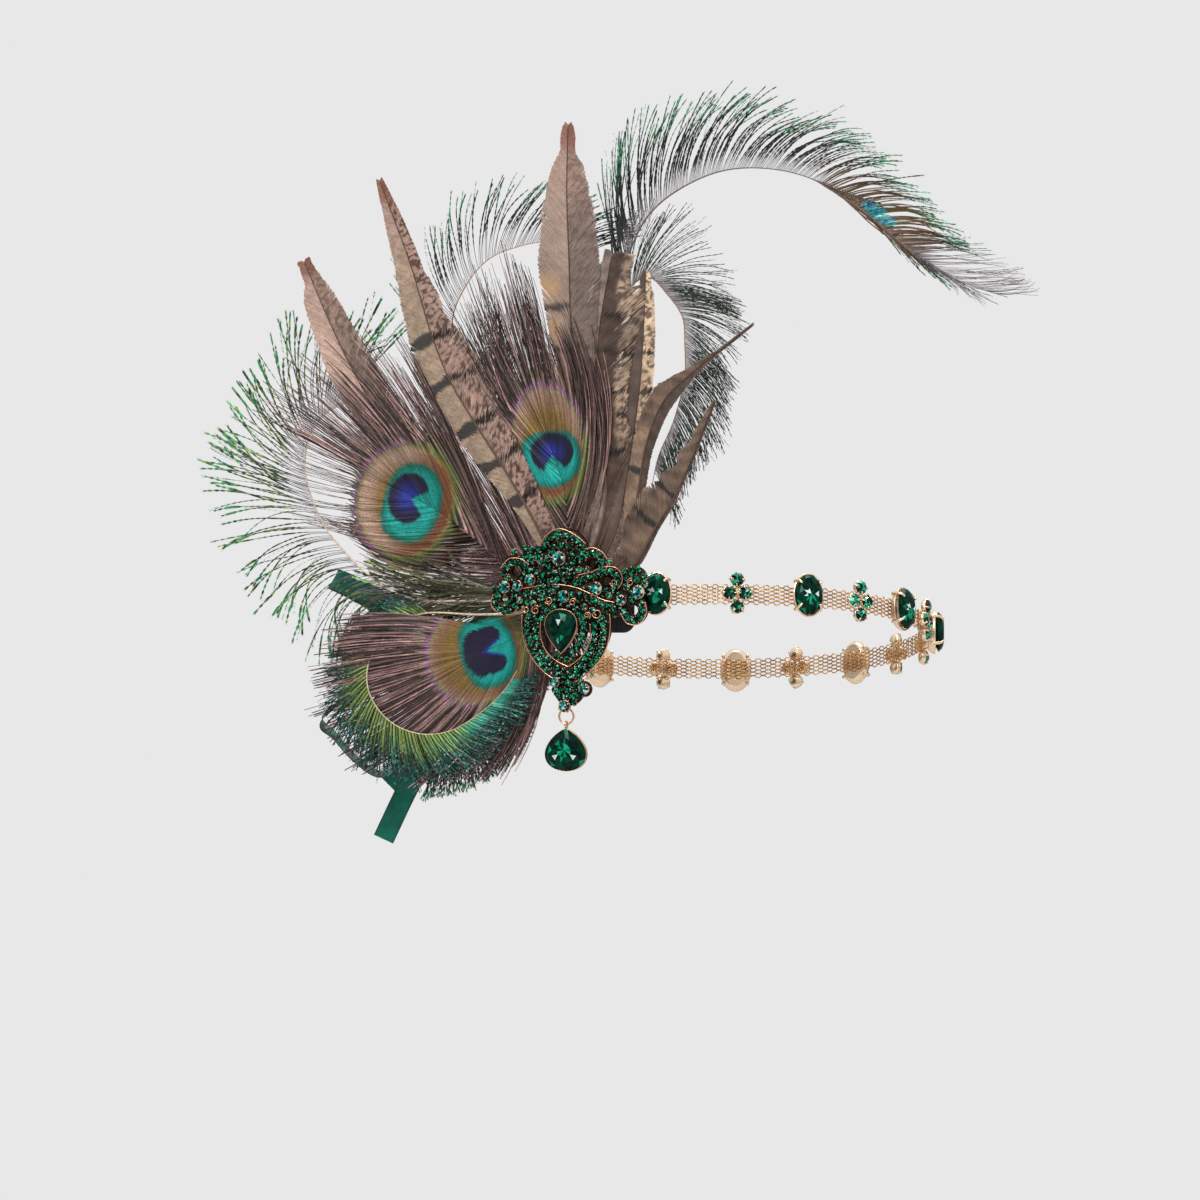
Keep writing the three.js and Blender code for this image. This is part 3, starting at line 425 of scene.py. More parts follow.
def feather_spine(foot_degrees, foot_depth, rows):
    angle = math.radians(foot_degrees)
    foot = [QUILL_RING * math.cos(angle), foot_depth, QUILL_RING * math.sin(angle)]
    return Spine([foot, *[[right, behind, up] for right, up, behind in rows]])


def read_table(table, share):
    """Columns of a table at shares, with straight runs between its rows."""
    table = np.asarray(table, float)
    return [np.interp(share, table[:, 0], table[:, k]) for k in range(1, table.shape[1])]


# Materials

# The ends of a noise's range between which two colours cloud into each other
CLOUD_LOW = 0.3
CLOUD_HIGH = 0.7


def set_inputs(node, **values):
    """Sets sockets of a node, whose names have underscores in place of spaces."""
    for name, value in values.items():
        node.inputs[name.replace("_", " ")].default_value = value


def node_material(name, **values):
    made = bpy.data.materials.new(name)
    made.use_nodes = True
    nodes = made.node_tree.nodes
    shader = nodes["Principled BSDF"]
    set_inputs(shader, **values)
    return made, nodes, made.node_tree.links, shader


def add_noise(nodes, scale, detail=4.0):
    noise = nodes.new("ShaderNodeTexNoise")
    set_inputs(noise, Scale=scale, Detail=detail)
    place = nodes.new("ShaderNodeTexCoord")
    noise.id_data.links.new(place.outputs["Object"], noise.inputs["Vector"])
    return noise.outputs["Fac"]


def add_range(nodes, source, low, high, from_low=0.0, from_high=1.0):
    """Maps a value from one range to another."""
    made = nodes.new("ShaderNodeMapRange")
    set_inputs(made, From_Min=from_low, From_Max=from_high, To_Min=low, To_Max=high)
    made.id_data.links.new(source, made.inputs["Value"])
    return made.outputs["Result"]


def add_bump(nodes, shader, height, strength, distance):
    bump = nodes.new("ShaderNodeBump")
    set_inputs(bump, Strength=strength, Distance=distance)
    bump.id_data.links.new(height, bump.inputs["Height"])
    bump.id_data.links.new(bump.outputs["Normal"], shader.inputs["Normal"])


def add_ramp(nodes, source, low, first, high, second):
    """One colour up to a low value, another from a high one, and blends between them."""
    ramp = nodes.new("ShaderNodeValToRGB")
    for end, position, colour in zip(ramp.color_ramp.elements, (low, high), (first, second)):
        end.position = position
        end.color = (*colour, 1)
    ramp.id_data.links.new(source, ramp.inputs["Fac"])
    return ramp.outputs["Color"]


def two_colours(nodes, noise, first, second):
    return add_ramp(nodes, noise, CLOUD_LOW, first, CLOUD_HIGH, second)


def varied_colour(nodes, source, tone):
    """A colour made lighter and darker by a tone."""
    scale = nodes.new("ShaderNodeVectorMath")
    scale.operation = "SCALE"
    scale.id_data.links.new(source, scale.inputs[0])
    scale.id_data.links.new(tone, scale.inputs["Scale"])
    return scale.outputs["Vector"]


def tint_colour(nodes):
    """The colour that a mesh carries at its points."""
    tint = nodes.new("ShaderNodeAttribute")
    tint.attribute_name = "tint"
    return tint.outputs["Color"]


def gilt_material(name, pale, deep, roughness):
    """Polished gilt with soft changes of tone, and fine wear in its shine."""
    made, nodes, links, shader = node_material(name, Metallic=1.0)
    cloud = add_noise(nodes, scale=140.0)
    links.new(two_colours(nodes, cloud, deep, pale), shader.inputs["Base Color"])
    wear = add_noise(nodes, scale=1400.0, detail=6.0)
    links.new(add_range(nodes, wear, roughness * 0.8, roughness * 1.25), shader.inputs["Roughness"])
    add_bump(nodes, shader, wear, strength=0.04, distance=0.0001)
    return made


def rhinestone_material(name, metallic, shine):
    """Foil-backed glass, whose facet tints carry painted reflections and painted glints."""
    made, nodes, links, shader = node_material(
        name, Metallic=metallic, Roughness=0.08, Specular_IOR_Level=0.5 * shine, Coat_Weight=shine,
        Coat_Roughness=0.01,
    )
    tone = add_range(nodes, add_noise(nodes, scale=500.0, detail=2.0), 0.7, 1.3)
    links.new(varied_colour(nodes, tint_colour(nodes), tone), shader.inputs["Base Color"])
    return made


def feather_material(name, roughness, metallic, grain, variation, sheen):
    """Feather barbs that carry their own pattern, broken up by fine light and dark."""
    made, nodes, links, shader = node_material(
        name, Metallic=metallic, Sheen_Weight=sheen, Sheen_Roughness=0.4,
    )
    fine = add_noise(nodes, scale=grain, detail=5.0)
    tone = add_range(nodes, fine, 1 - variation, 1 + variation, from_low=0.34, from_high=0.66)
    links.new(varied_colour(nodes, tint_colour(nodes), tone), shader.inputs["Base Color"])
    links.new(add_range(nodes, fine, roughness * 0.8, roughness * 1.2), shader.inputs["Roughness"])
    add_bump(nodes, shader, fine, strength=0.25, distance=0.0002)
    return made


def satin_material(name, pale, deep):
    """Satin ribbon: long floating threads across its width and a soft sheen."""
    made, nodes, links, shader = node_material(
        name, Roughness=0.4, Specular_IOR_Level=0.25, Sheen_Weight=0.03, Sheen_Roughness=0.3,
    )
    place = nodes.new("ShaderNodeTexCoord")
    weave = nodes.new("ShaderNodeTexWave")
    weave.wave_type = "BANDS"
    weave.bands_direction = "Y"
    set_inputs(weave, Scale=1.0, Distortion=0.4)
    links.new(place.outputs["UV"], weave.inputs["Vector"])
    threads = weave.outputs["Fac"]
    cloud = two_colours(nodes, add_noise(nodes, scale=120.0, detail=3.0), deep, pale)
    tone = add_range(nodes, threads, 0.82, 1.12)
    links.new(varied_colour(nodes, cloud, tone), shader.inputs["Base Color"])
    add_bump(nodes, shader, threads, strength=0.3, distance=0.0001)
    return made


def felt_material(name, pale, deep):
    made, nodes, links, shader = node_material(name, Roughness=0.95, Sheen_Weight=0.3)
    fibre = add_noise(nodes, scale=2600.0, detail=8.0)
    links.new(two_colours(nodes, fibre, deep, pale), shader.inputs["Base Color"])
    add_bump(nodes, shader, fibre, strength=0.9, distance=0.0006)
    return made


GILT = gilt_material("gilt", linear(255, 230, 198), linear(248, 214, 178), roughness=0.24)
MESH_GILT = gilt_material("mesh_gilt", linear(234, 192, 138), linear(178, 124, 74), roughness=0.26)
ROSE_GILT = gilt_material("rose_gilt", linear(244, 204, 170), linear(198, 138, 102), roughness=0.24)
OLD_GILT = gilt_material("old_gilt", linear(70, 48, 38), linear(24, 17, 14), roughness=0.42)
EMERALD = rhinestone_material("emerald", metallic=0.3, shine=0.1)
RHINESTONE = rhinestone_material("rhinestone", metallic=0.4, shine=0.3)
TEAL_STONE = rhinestone_material("teal_stone", metallic=0.3, shine=0.3)
PHEASANT = feather_material(
    "pheasant_vane", roughness=0.62, metallic=0.0, grain=1600.0, variation=0.2, sheen=0.1
)
PEACOCK = feather_material(
    "peacock_eye_barbs", roughness=0.36, metallic=0.3, grain=900.0, variation=0.18, sheen=0.08
)
HERL = feather_material(
    "peacock_herl_barbs", roughness=0.4, metallic=0.2, grain=900.0, variation=0.22, sheen=0.08
)
SATIN = satin_material("satin", linear(8, 120, 98), linear(2, 86, 69))
EDGE_SATIN = satin_material("edge_satin", linear(12, 60, 49), linear(4, 34, 28))
FELT = felt_material("felt", linear(34, 34, 34), linear(10, 10, 10))


# Mesh band

MESH_WIRES = 10
MESH_PERIOD = 4.6
MESH_STEPS = 8
MESH_SAMPLES = 600
# How flat the turns of a zig-zag are, and how far it hooks past the next wire, in shares of its radius
MESH_FLATNESS = 1.7
MESH_HOOK = 0.6
WIRE_RADIUS = 0.27
WIRE_SIDES = 5


def add_band(piece, from_angle, to_angle):
    """Zig-zag wires that hook round each other at every turn, in rows of long cells."""
    angles = np.linspace(from_angle, to_angle, MESH_SAMPLES)
    lengths = run_lengths(loop_point(angles))
    periods = round(lengths[-1] / MESH_PERIOD)
    turns = np.linspace(0, periods, periods * MESH_STEPS + 1)
    angle = np.interp(turns / periods * lengths[-1], lengths, angles)
    outward = loop_outward(angle)
    pitch = (BAND_WIDTH - 2 * WIRE_RADIUS) / MESH_WIRES
    for wire in range(MESH_WIRES):
        phase = 2 * math.pi * turns + math.pi * (wire % 2)
        swing = np.clip(MESH_FLATNESS * np.sin(phase), -1, 1)
        height = (wire - (MESH_WIRES - 1) / 2) * pitch + swing * (pitch / 2 + WIRE_RADIUS * MESH_HOOK)
        depth = WIRE_RADIUS * np.sin(phase + math.pi / 2 * (wire % 2))
        path = loop_point(angle) + outward * depth[:, None]
        path[:, 2] = height
        add_tube(piece, loop_lean(path), WIRE_RADIUS, WIRE_SIDES)


near_end = loop_angle(BAND_NEAR_END_X, NEAR)
far_end = loop_angle(BAND_FAR_END_X, FAR)
band_joint = GAP / 2 / LOOP_HALF_WIDTH
for name, ends in (("mesh_band_near", (near_end, -band_joint)), ("mesh_band_far", (band_joint, far_end))):
    strip = Piece()
    add_band(strip, *ends)
    strip.build(f"{name}_links", [MESH_GILT], replaces=[name], slot="gilt_mesh")


# Oval stones

OVAL_SEED = SEED + 90
OVAL_WIDTH = 12.8
OVAL_HEIGHT = 18.6
OVAL_SIDES = 12
STONE_DEPTH = 3.6
CUP_DEPTH = 3.2
CUP_RIM = 0.7
CUP_SIDES = 40
OVALS = ((-26.1, NEAR), (39.6, NEAR), (80.5, NEAR), (95, NEAR), (62.6, FAR), (9.9, FAR), (-50.5, FAR))
# Shares of the outline, shares of the stone's depth and half turns, from the culet to the table
OVAL_CUT = ((0.3, -0.5, 0.0), (1.0, 0.3, 0.5), (0.82, 0.76, 0.0), (0.56, 1.0, 0.5), (0.28, 1.0, 0.0))
# Height and strength of the painted reflection in the table, and places of its painted glints, in shares of
# the half sizes
OVAL_PAINTED_LIGHTS = ((-0.32, 1.0), ((-0.42, 0.06), (-0.2, 0.06), (-0.3, -0.12), (-0.14, 0.2), (0.5, 0.12)))
# The cup from its back to its rim: out from the stone's outline, and to the front
CUP_ROWS = (
    (-1.3, 0.0), (-0.7, 0.25), (-0.1, 1.0), (CUP_RIM * 0.8, 2.2), (CUP_RIM, CUP_DEPTH - 0.2),
    (CUP_RIM * 0.9, CUP_DEPTH), (0.1, CUP_DEPTH),
)
# A claw's foot, shoulder and tip: out from the stone's outline, and to the front
CLAW_ROWS = ((0.75, 0.9), (1.0, CUP_DEPTH + STONE_DEPTH * 0.95), (-1.5, CUP_DEPTH + STONE_DEPTH * 0.93))
CLAW_ANGLES = (38, 142, 218, 322)
CLAW_RADIUS = 0.72
CLAW_TAPER = (1.15, 0.75)
CLAW_STEPS = 9


def oval_outline(angle):
    return OVAL_WIDTH / 2 * np.cos(angle), OVAL_HEIGHT / 2 * np.sin(angle)


def add_loft(piece, rings, slot=0, caps=True):
    """A skin over rings of points, closed by flat ends where it has caps."""
    rings = np.asarray(rings, float)
    count, sides = rings.shape[:2]
    ring = np.arange(sides)
    ends = (ring[None, :], ((count - 1) * sides + ring)[None, ::-1]) if caps else ()
    piece.add(rings.reshape(-1, 3), grid_faces(count, sides, True)[:, ::-1], *ends, slot=slot)


def outline_ring(outline, out, front, sides):
    """A ring that stands off an outline by the same width all round."""
    right, up = outline(round_angles(sides))
    off = unit(np.stack([np.gradient(up), -np.gradient(right)], -1))
    off[0] = unit(off[1] + off[-1])
    return np.stack([right + out * off[:, 0], np.full(sides, front), up + out * off[:, 1]], -1)


def add_cup(piece, outline, rows, sides, place):
    """A cup along an outline, with a flat back. Rows give how far out of it, and how far to the front."""
    rings = [place(outline_ring(outline, out, front, sides)) for out, front in rows]
    add_loft(piece, rings, caps=False)
    piece.add(rings[0], np.arange(sides)[None, :], smooth=False)


def add_claw(piece, edge, rows, radius, place):
    """A round wire claw that rises beside a stone and bends in over its edge.

    The edge is a right and up place on the stone's outline. Rows give the claw's foot, shoulder and tip:
    how far out of the edge, and how far to the front.
    """
    corners = []
    for out, front in rows:
        right, up = edge + unit(edge) * out
        corners.append(np.array([right, front, up]))
    path = bent(*corners, np.linspace(0, 1, CLAW_STEPS)[:, None])
    add_tube(piece, place(path), radius * np.linspace(*CLAW_TAPER, CLAW_STEPS))


rng = np.random.default_rng(OVAL_SEED)
for number, (x, strand) in enumerate(OVALS, 1):
    place = band_place(x, strand)
    setting = Piece()
    add_cup(setting, oval_outline, CUP_ROWS, CUP_SIDES, place)
    for degrees in CLAW_ANGLES:
        add_claw(setting, np.array(oval_outline(math.radians(degrees))), CLAW_ROWS, CLAW_RADIUS, place)
    setting.build(f"oval_cup_{number}", [GILT], replaces=[f"oval_setting_{number}"], slot="gilt_metal")
    stone = Piece()
    seat = CUP_DEPTH + GAP
    add_gem(stone, oval_outline, OVAL_CUT, seat, STONE_DEPTH, OVAL_SIDES, OVAL_PAINTED_LIGHTS, place, rng)
    stone.build(f"oval_gem_{number}", [EMERALD], replaces=[f"oval_stone_{number}"], slot="emerald_glass")


# Crosses of four round stones

CROSS_SEED = SEED + 80
CROSS_STONE_RADIUS = 3.2
CROSS_STONE_DEPTH = 3.9
CROSS_TOP = (0.0, 6.2)
CROSS_SIDE = (3.5, 0.0)
CROSS_BAR = 0.5
CROSS_BAR_STEPS = 6
CROSSES = ((9, NEAR), (62.6, NEAR), (91.9, NEAR), (91.9, FAR), (80.5, FAR), (36.9, FAR), (-22.5, FAR))
CHATON_SIDES = 16
CHATON_CLAWS = 4
CUT_SIDES = 8
CUT_TABLE = 0.56
CUT_GIRDLE = 0.2
CUT_TILT = 0.05
# Facet colours of cut stones, and how often each comes: dark and mid tones, then painted reflections and
# painted glints
EMERALD_PAINTED_FACETS = (
    (linear(0, 15, 12), 0.46), (linear(0, 66, 48), 0.22), (linear(16, 178, 130), 0.25),
    (linear(196, 244, 226), 0.07),
)
TEAL_PAINTED_FACETS = (
    (linear(0, 26, 28), 0.34), (linear(4, 92, 92), 0.28), (linear(30, 176, 168), 0.28),
    (linear(206, 244, 238), 0.1),
)
# Where small stones come in a piece's materials
STONE_SLOT = 1


def shifted(place, right, front, up):
    """A mapping moved within another one."""
    return lambda points: place(np.asarray(points, float) + np.array([right, front, up]))


def cut_facets():
    """Triangles of a round cut stone of radius 1 and rise 1, from its table to its girdle."""
    turn = round_angles(CUT_SIDES)
    half = turn + math.pi / CUT_SIDES
    table = np.stack([CUT_TABLE * np.cos(turn), np.ones(CUT_SIDES), CUT_TABLE * np.sin(turn)], -1)
    girdle = np.stack([np.cos(half), np.full(CUT_SIDES, CUT_GIRDLE), np.sin(half)], -1)
    after, before = np.roll(table, -1, axis=0), np.roll(girdle, 1, axis=0)
    middle = np.broadcast_to([0.0, 1.0, 0.0], table.shape)
    rows = [(middle, after, table), (table, after, girdle), (table, girdle, before)]
    return np.concatenate([np.stack(row, 1) for row in rows])


CUT_FACETS = cut_facets()


def add_cut_stone(piece, place, radius, rise, slot, painted_facets, rng):
    """A small foil-backed stone, whose facet tints carry painted reflections and painted glints."""
    turn = rng.uniform(0, 2 * math.pi)
    cosine, sine = math.cos(turn), math.sin(turn)
    points = CUT_FACETS @ np.array([[cosine, 0, sine], [0, 1, 0], [-sine, 0, cosine]])
    points = points * np.array([radius, rise, radius])
    points[..., 1] += points[..., 0] * rng.normal(0, CUT_TILT) + points[..., 2] * rng.normal(0, CUT_TILT)
    chosen = rng.choice(len(painted_facets), len(points), p=[often for _, often in painted_facets])
    tints = np.repeat(np.array([tint for tint, _ in painted_facets])[chosen][:, None], 3, axis=1)
    faces = np.arange(points.size // 3).reshape(-1, 3)
    piece.add(place(points.reshape(-1, 3)), faces, tint=tints, slot=slot, smooth=False)


def add_chaton(piece, place, radius, depth, slot, painted_facets, rng):
    """A round stone in a gilt cup with small claws."""
    cup = depth * 0.52
    profile = [(0.0, 0.0), (radius * 0.8, 0.0), (radius * 0.95, depth * 0.12), (radius, cup)]
    profile += [(radius * 0.9, cup + depth * 0.06), (radius * 0.78, cup)]
    add_lathe(piece, profile, CHATON_SIDES, place)
    add_cut_stone(piece, shifted(place, 0.0, cup, 0.0), radius * 0.97, depth - cup, slot, painted_facets, rng)
    claw = ((0.0, cup * 0.5), (radius * 0.08, depth * 0.95), (-radius * 0.34, depth * 0.9))
    for angle in round_angles(CHATON_CLAWS, rng.uniform(0, 1)):
        edge = radius * np.array([math.cos(angle), math.sin(angle)])
        add_claw(piece, edge, claw, radius * 0.13, place)


rng = np.random.default_rng(CROSS_SEED)
for number, (x, strand) in enumerate(CROSSES, 1):
    place = band_place(x, strand)
    cross = Piece()
    top, side = np.array(CROSS_TOP), np.array(CROSS_SIDE)
    for right, up in (top, -top, -side, side):
        spot = shifted(place, right, 0.0, up)
        add_chaton(cross, spot, CROSS_STONE_RADIUS, CROSS_STONE_DEPTH, STONE_SLOT, EMERALD_PAINTED_FACETS, rng)
    for right, up in (top, side):
        bar = np.linspace([-right, CROSS_BAR, -up], [right, CROSS_BAR, up], CROSS_BAR_STEPS)
        add_tube(cross, place(bar), CROSS_BAR)
    replaced = [f"cross_cluster_{number}"]
    cross.build(f"cross_stones_{number}", [GILT, RHINESTONE], replaces=replaced, slot="emerald_glass")


# Feather barbs

LEFT = 1
RIGHT = -1
BARBULE_BASE = 0.16
BARBULE_LEAST = 0.05
BARBULE_LEAN = 0.75
RACHIS_STEPS = 90
RACHIS_SIDES = 7
RACHIS_TAPER = 1.8


def barb_paths(spine, roots, side, angles, lengths, bends, shares):
    """Curves of many barbs that leave a rachis at an angle and bend towards its tip."""
    place, along, left = spine.frames(roots)

    def heading(turn):
        return along * np.cos(turn)[:, None] + left * (side * np.sin(turn))[:, None]

    start = np.radians(angles)
    elbow = place + heading(start) * (lengths / 2)[:, None]
    tip = elbow + heading(start - np.radians(bends)) * (lengths / 2)[:, None]
    return bent(place[:, None], elbow[:, None], tip[:, None], shares[None, :, None])


def across_paths(paths):
    """The direction across each step of flat paths, in the spray's plane."""
    along = np.gradient(paths, axis=1)
    return unit(np.stack([-along[..., 2], np.zeros(along.shape[:2]), along[..., 0]], -1))


def wander_paths(paths, rng, sideways, depth):
    """Lets barbs drift and wave a little more towards their tips."""
    count, steps = paths.shape[:2]
    share = np.linspace(0, 1, steps)[None, :]
    wave = np.sin(2 * math.pi * (rng.uniform(0.6, 1.5, (count, 1)) * share + rng.random((count, 1))))
    drift = rng.normal(0, 1, (count, 1)) * share**1.5
    moved = paths + across_paths(paths) * (sideways * share * (0.5 * wave + drift))[..., None]
    moved[..., 1] += depth * share * rng.normal(0, 1, (count, 1)) + rng.normal(0, depth * 0.15, (count, 1))
    return moved


def add_strips(piece, paths, half_widths, tints, twists, shade=0.0):
    """Flat barbs of many steps, each turned about its own line by a twist, with a painted shade that darkens
    one edge and lightens the other.
    """
    count, steps = paths.shape[:2]
    across = across_paths(paths) * np.cos(twists)[..., None]
    across[..., 1] -= np.sin(twists)
    edges = half_widths[..., None] * across
    points = np.stack([paths + edges, paths - edges], 2)
    share = np.broadcast_to(np.linspace(0, 1, steps)[None, :, None], (count, steps, 2))
    side = np.broadcast_to(np.array([0.0, 1.0])[None, None, :], (count, steps, 2))
    both = np.stack([tints * (1 + shade), tints * (1 - shade)], 2)
    piece.add(spray_place(points), strip_faces(count, steps), tint=both, uv=np.stack([side, share], -1))


def add_barbules(piece, paths, lengths, tints, rng, lean=BARBULE_LEAN):
    """Short pointed barbules on both sides of each barb, at every step where their length isn't nothing."""
    along = unit(np.gradient(paths, axis=1))
    across = across_paths(paths)
    base = BARBULE_BASE * along
    kept = lengths > BARBULE_LEAST
    for side in (LEFT, RIGHT):
        reach = lengths * rng.uniform(0.7, 1.25, lengths.shape)
        tip = paths + reach[..., None] * (lean * along + side * math.sqrt(1 - lean**2) * across)
        tip[..., 1] += reach * rng.uniform(-0.5, 0.3, lengths.shape)
        triangle = np.stack([paths - base, paths + base, tip], 2)[kept]
        colour = np.repeat(tints[kept][:, None, :], 3, axis=1)
        piece.add(spray_place(triangle), np.arange(len(triangle) * 3).reshape(-1, 3), tint=colour)


def add_rachis(piece, spine, end, radii, tints, rise=0.0, taper=RACHIS_TAPER):
    """A quill along a spine to a share of its length. Radii and tints are those of its root and its tip."""
    share = np.linspace(0, end, RACHIS_STEPS)
    path = spine.at(share)
    path[:, 1] -= rise
    run = share / end
    root, tip = radii
    radius = tip + (root - tip) * (1 - run) ** taper
    add_tube(piece, spray_place(path), radius, RACHIS_SIDES, mix(*tints, run))


def clumped(count, rng, smallest, largest):
    """For barbs in order, where each lies in its lock, from -1 to 1, and which lock that is."""
    sizes = rng.integers(smallest, largest + 1, count)
    places = np.concatenate([np.linspace(-1, 1, size) for size in sizes])
    locks = np.repeat(np.arange(count), sizes)
    return places[:count], locks[:count]


def build_feathers(table, plain, add, seed, ending, material, slot):
    """Makes the feathers of a table. A plain feather gives the values that a feather's own rows leave out."""
    for number, (name, own) in enumerate(table.items()):
        feather = Piece()
        add(feather, {**plain, **own}, np.random.default_rng(seed + number))
        feather.build(f"{name}_{ending}", [material], replaces=[name], slot=slot)


# Pheasant feathers

TAUPE = linear(158, 136, 122)
GREY_TAUPE = linear(138, 120, 110)
OLIVE_TAN = linear(170, 146, 122)
PINK_TAN = linear(184, 152, 137)
BLUSH_TAN = linear(216, 182, 165)
RUST_TIP = linear(142, 96, 80)
BAR_BROWN = linear(16, 10, 8)
ORANGE_TAN = linear(196, 152, 108)
DARK_BROWN = linear(90, 70, 60)
CREAM_GOLD = linear(228, 198, 168)
SPECK_BROWN = linear(78, 56, 46)
WARM_BROWN = linear(122, 98, 80)

# The side of bars on both halves of a vane, and the start of a rust tip that a vane doesn't have
BOTH = 0
NO_TIP = 1.2
# A plain vane: the heights of its bars on the spine, the side that shows them and half a bar's height, where
# its rust tip starts, whether orange glows above its bars, how dusky its foot, how pale its right edge and
# how mottled it is, and the steps across it
PLAIN_VANE = {
    "bars": (), "bar_side": BOTH, "bar": 2.5, "tip": NO_TIP, "warm": False, "dusky": 0.0, "pale_edge": 0.0,
    "mottle": 0.4, "steps": 11,
}
# Rows of each spine: right, up and behind. Rows of widths: share, left and right. Flecks: how strong they are
PHEASANTS = {
    "pheasant_feather_1": {
        "foot": 156, "left": BLUSH_TAN, "right": TAUPE, "flecks": 0.6, "tip": 0.955,
        "spine": [(-27, 15, 7), (-57, 34, 6), (-86, 68, 5.2), (-106, 100, 5), (-118, 123, 6), (-130, 148, 8)],
        "widths": [
            (0.16, 0.9, 0.9), (0.4, 8, 7), (0.6, 11.5, 11), (0.78, 11, 10), (0.92, 8, 6.8), (0.97, 5.2, 4.6),
            (0.99, 3, 2.8), (1, 0.8, 0.8),
        ],
    },
    "pheasant_feather_2": {
        "foot": 138, "left": OLIVE_TAN, "right": PINK_TAN, "flecks": 1.0, "bars": (40, 57, 74, 94, 113),
        "tip": 0.94, "steps": 19,
        "spine": [
            (-16, 25, 6.5), (-30, 50, 4.2), (-46, 74, 3.8), (-58, 93, 3.8), (-67, 114, 3.8), (-77, 145, 4),
            (-93, 184, 6),
        ],
        "widths": [
            (0.02, 3, 5), (0.16, 5, 8), (0.25, 8, 10), (0.39, 11, 12), (0.51, 14, 16), (0.62, 12, 13),
            (0.79, 8.5, 5), (0.92, 4.5, 3.5), (1, 1.5, 1.5),
        ],
    },
    "pheasant_feather_3": {
        "foot": 92, "left": TAUPE, "right": GREY_TAUPE, "flecks": 0.45, "bars": (88, 106, 126),
        "bar_side": LEFT, "bar": 1.4, "tip": 0.945, "warm": True,
        "spine": [
            (3, 27, 7.9), (6, 50, 7.4), (1, 86, 7.4), (-2, 118, 7.4), (-3, 148, 7.4), (-4, 176, 7.4),
            (-4, 208, 9),
        ],
        "widths": [
            (0.0, 4, 4), (0.2, 7, 7), (0.3, 8, 8), (0.45, 8, 9), (0.545, 11, 11.5), (0.68, 15.3, 14),
            (0.84, 12.2, 11.8), (0.94, 6.6, 6.6), (1, 1.6, 1.6),
        ],
    },
    "pheasant_feather_4": {
        "foot": 66, "left": GREY_TAUPE, "right": DARK_BROWN, "flecks": 1.0, "bars": (60, 74, 88, 107, 123),
        "bar_side": RIGHT, "bar": 1.7, "mottle": 1.0, "pale_edge": 0.6, "steps": 15,
        "spine": [
            (11.5, 27, 8.4), (14, 42, 9.2), (11, 68, 9.4), (9, 94, 9.4), (11, 118, 9.4), (14, 135, 9.4),
            (17, 150, 9.4),
        ],
        "widths": [
            (0.0, 5, 6), (0.13, 7, 11), (0.2, 8, 14), (0.3, 7, 16), (0.42, 6, 15), (0.52, 5, 13),
            (0.71, 6, 17), (0.86, 6, 19.5), (0.96, 6, 17), (1, 4, 10),
        ],
    },
    "pheasant_feather_5": {
        "foot": 42, "left": DARK_BROWN, "right": CREAM_GOLD, "flecks": 0.8, "bars": (71, 87, 105),
        "bar_side": RIGHT, "bar": 1.4, "dusky": 0.85, "mottle": 0.7,
        "spine": [(18.5, 26, 8.4), (25, 63, 11), (29, 90, 11.2), (31, 117, 11.2), (32, 142, 11.2)],
        "widths": [
            (0.0, 5, 3), (0.2, 9, 5), (0.45, 10, 6), (0.6, 10, 6), (0.8, 9, 5.5), (0.94, 5, 4), (1, 1.5, 1.5),
        ],
    },
    "pheasant_feather_6": {
        "foot": 240, "left": WARM_BROWN, "right": WARM_BROWN, "flecks": 0.4,
        "spine": [(-15, -22, 7.6), (-31, -33, 6.4), (-50, -47, 6.2), (-64, -63, 6.2), (-73, -77, 7)],
        "widths": [(0.25, 0.9, 0.9), (0.45, 7, 7), (0.7, 8, 8), (0.9, 6, 6), (1, 1.5, 1.5)],
    },
    "pheasant_small_1": {
        "foot": 28, "left": WARM_BROWN, "right": DARK_BROWN, "flecks": 1.0, "bars": (52,), "bar_side": LEFT,
        "bar": 1.3, "mottle": 1.1,
        "spine": [(25, 16, 7.8), (30, 45, 7.2), (34, 66, 7.2), (42, 84, 7.2), (55, 96, 7.2), (85, 118, 6)],
        "widths": [
            (0.0, 4, 2), (0.2, 6, 3), (0.3, 6, 3), (0.45, 6, 3.5), (0.58, 7, 4.5), (0.66, 7, 4.5),
            (0.75, 3, 2), (0.85, 0.8, 0.8), (1, 0.5, 0.5),
        ],
    },
    "pheasant_small_2": {
        "foot": 15, "left": WARM_BROWN, "right": DARK_BROWN, "flecks": 1.0, "bars": (28, 41),
        "bar_side": LEFT, "bar": 1.2, "mottle": 1.1, "steps": 15,
        "spine": [(27, 10, 7), (39, 28, 5.2), (47, 40, 5), (55, 56, 5), (67, 84, 4.2)],
        "widths": [
            (0.0, 5, 2), (0.16, 10, 2), (0.25, 13, 2), (0.386, 15, 1.8), (0.527, 14.5, 1.4), (0.62, 12, 1),
            (0.7, 9.5, 1), (0.8, 6, 0.8), (0.9, 3, 0.8), (1, 0.6, 0.6),
        ],
    },
}
VANE_SPACING = 0.34
VANE_END = 0.992
VANE_SLANT = 34
VANE_SLANT_WAVE = 6
# How far past the end of the spine the last barbs may climb, as a share of its length
VANE_LIMIT = 1.004
VANE_CAMBER = 0.035
VANE_CAMBER_LIMIT = 1.4
VANE_HALF_BARB = 0.4
VANE_TWIST = 0.3
VANE_QUILL = (linear(108, 84, 68), linear(72, 52, 44))
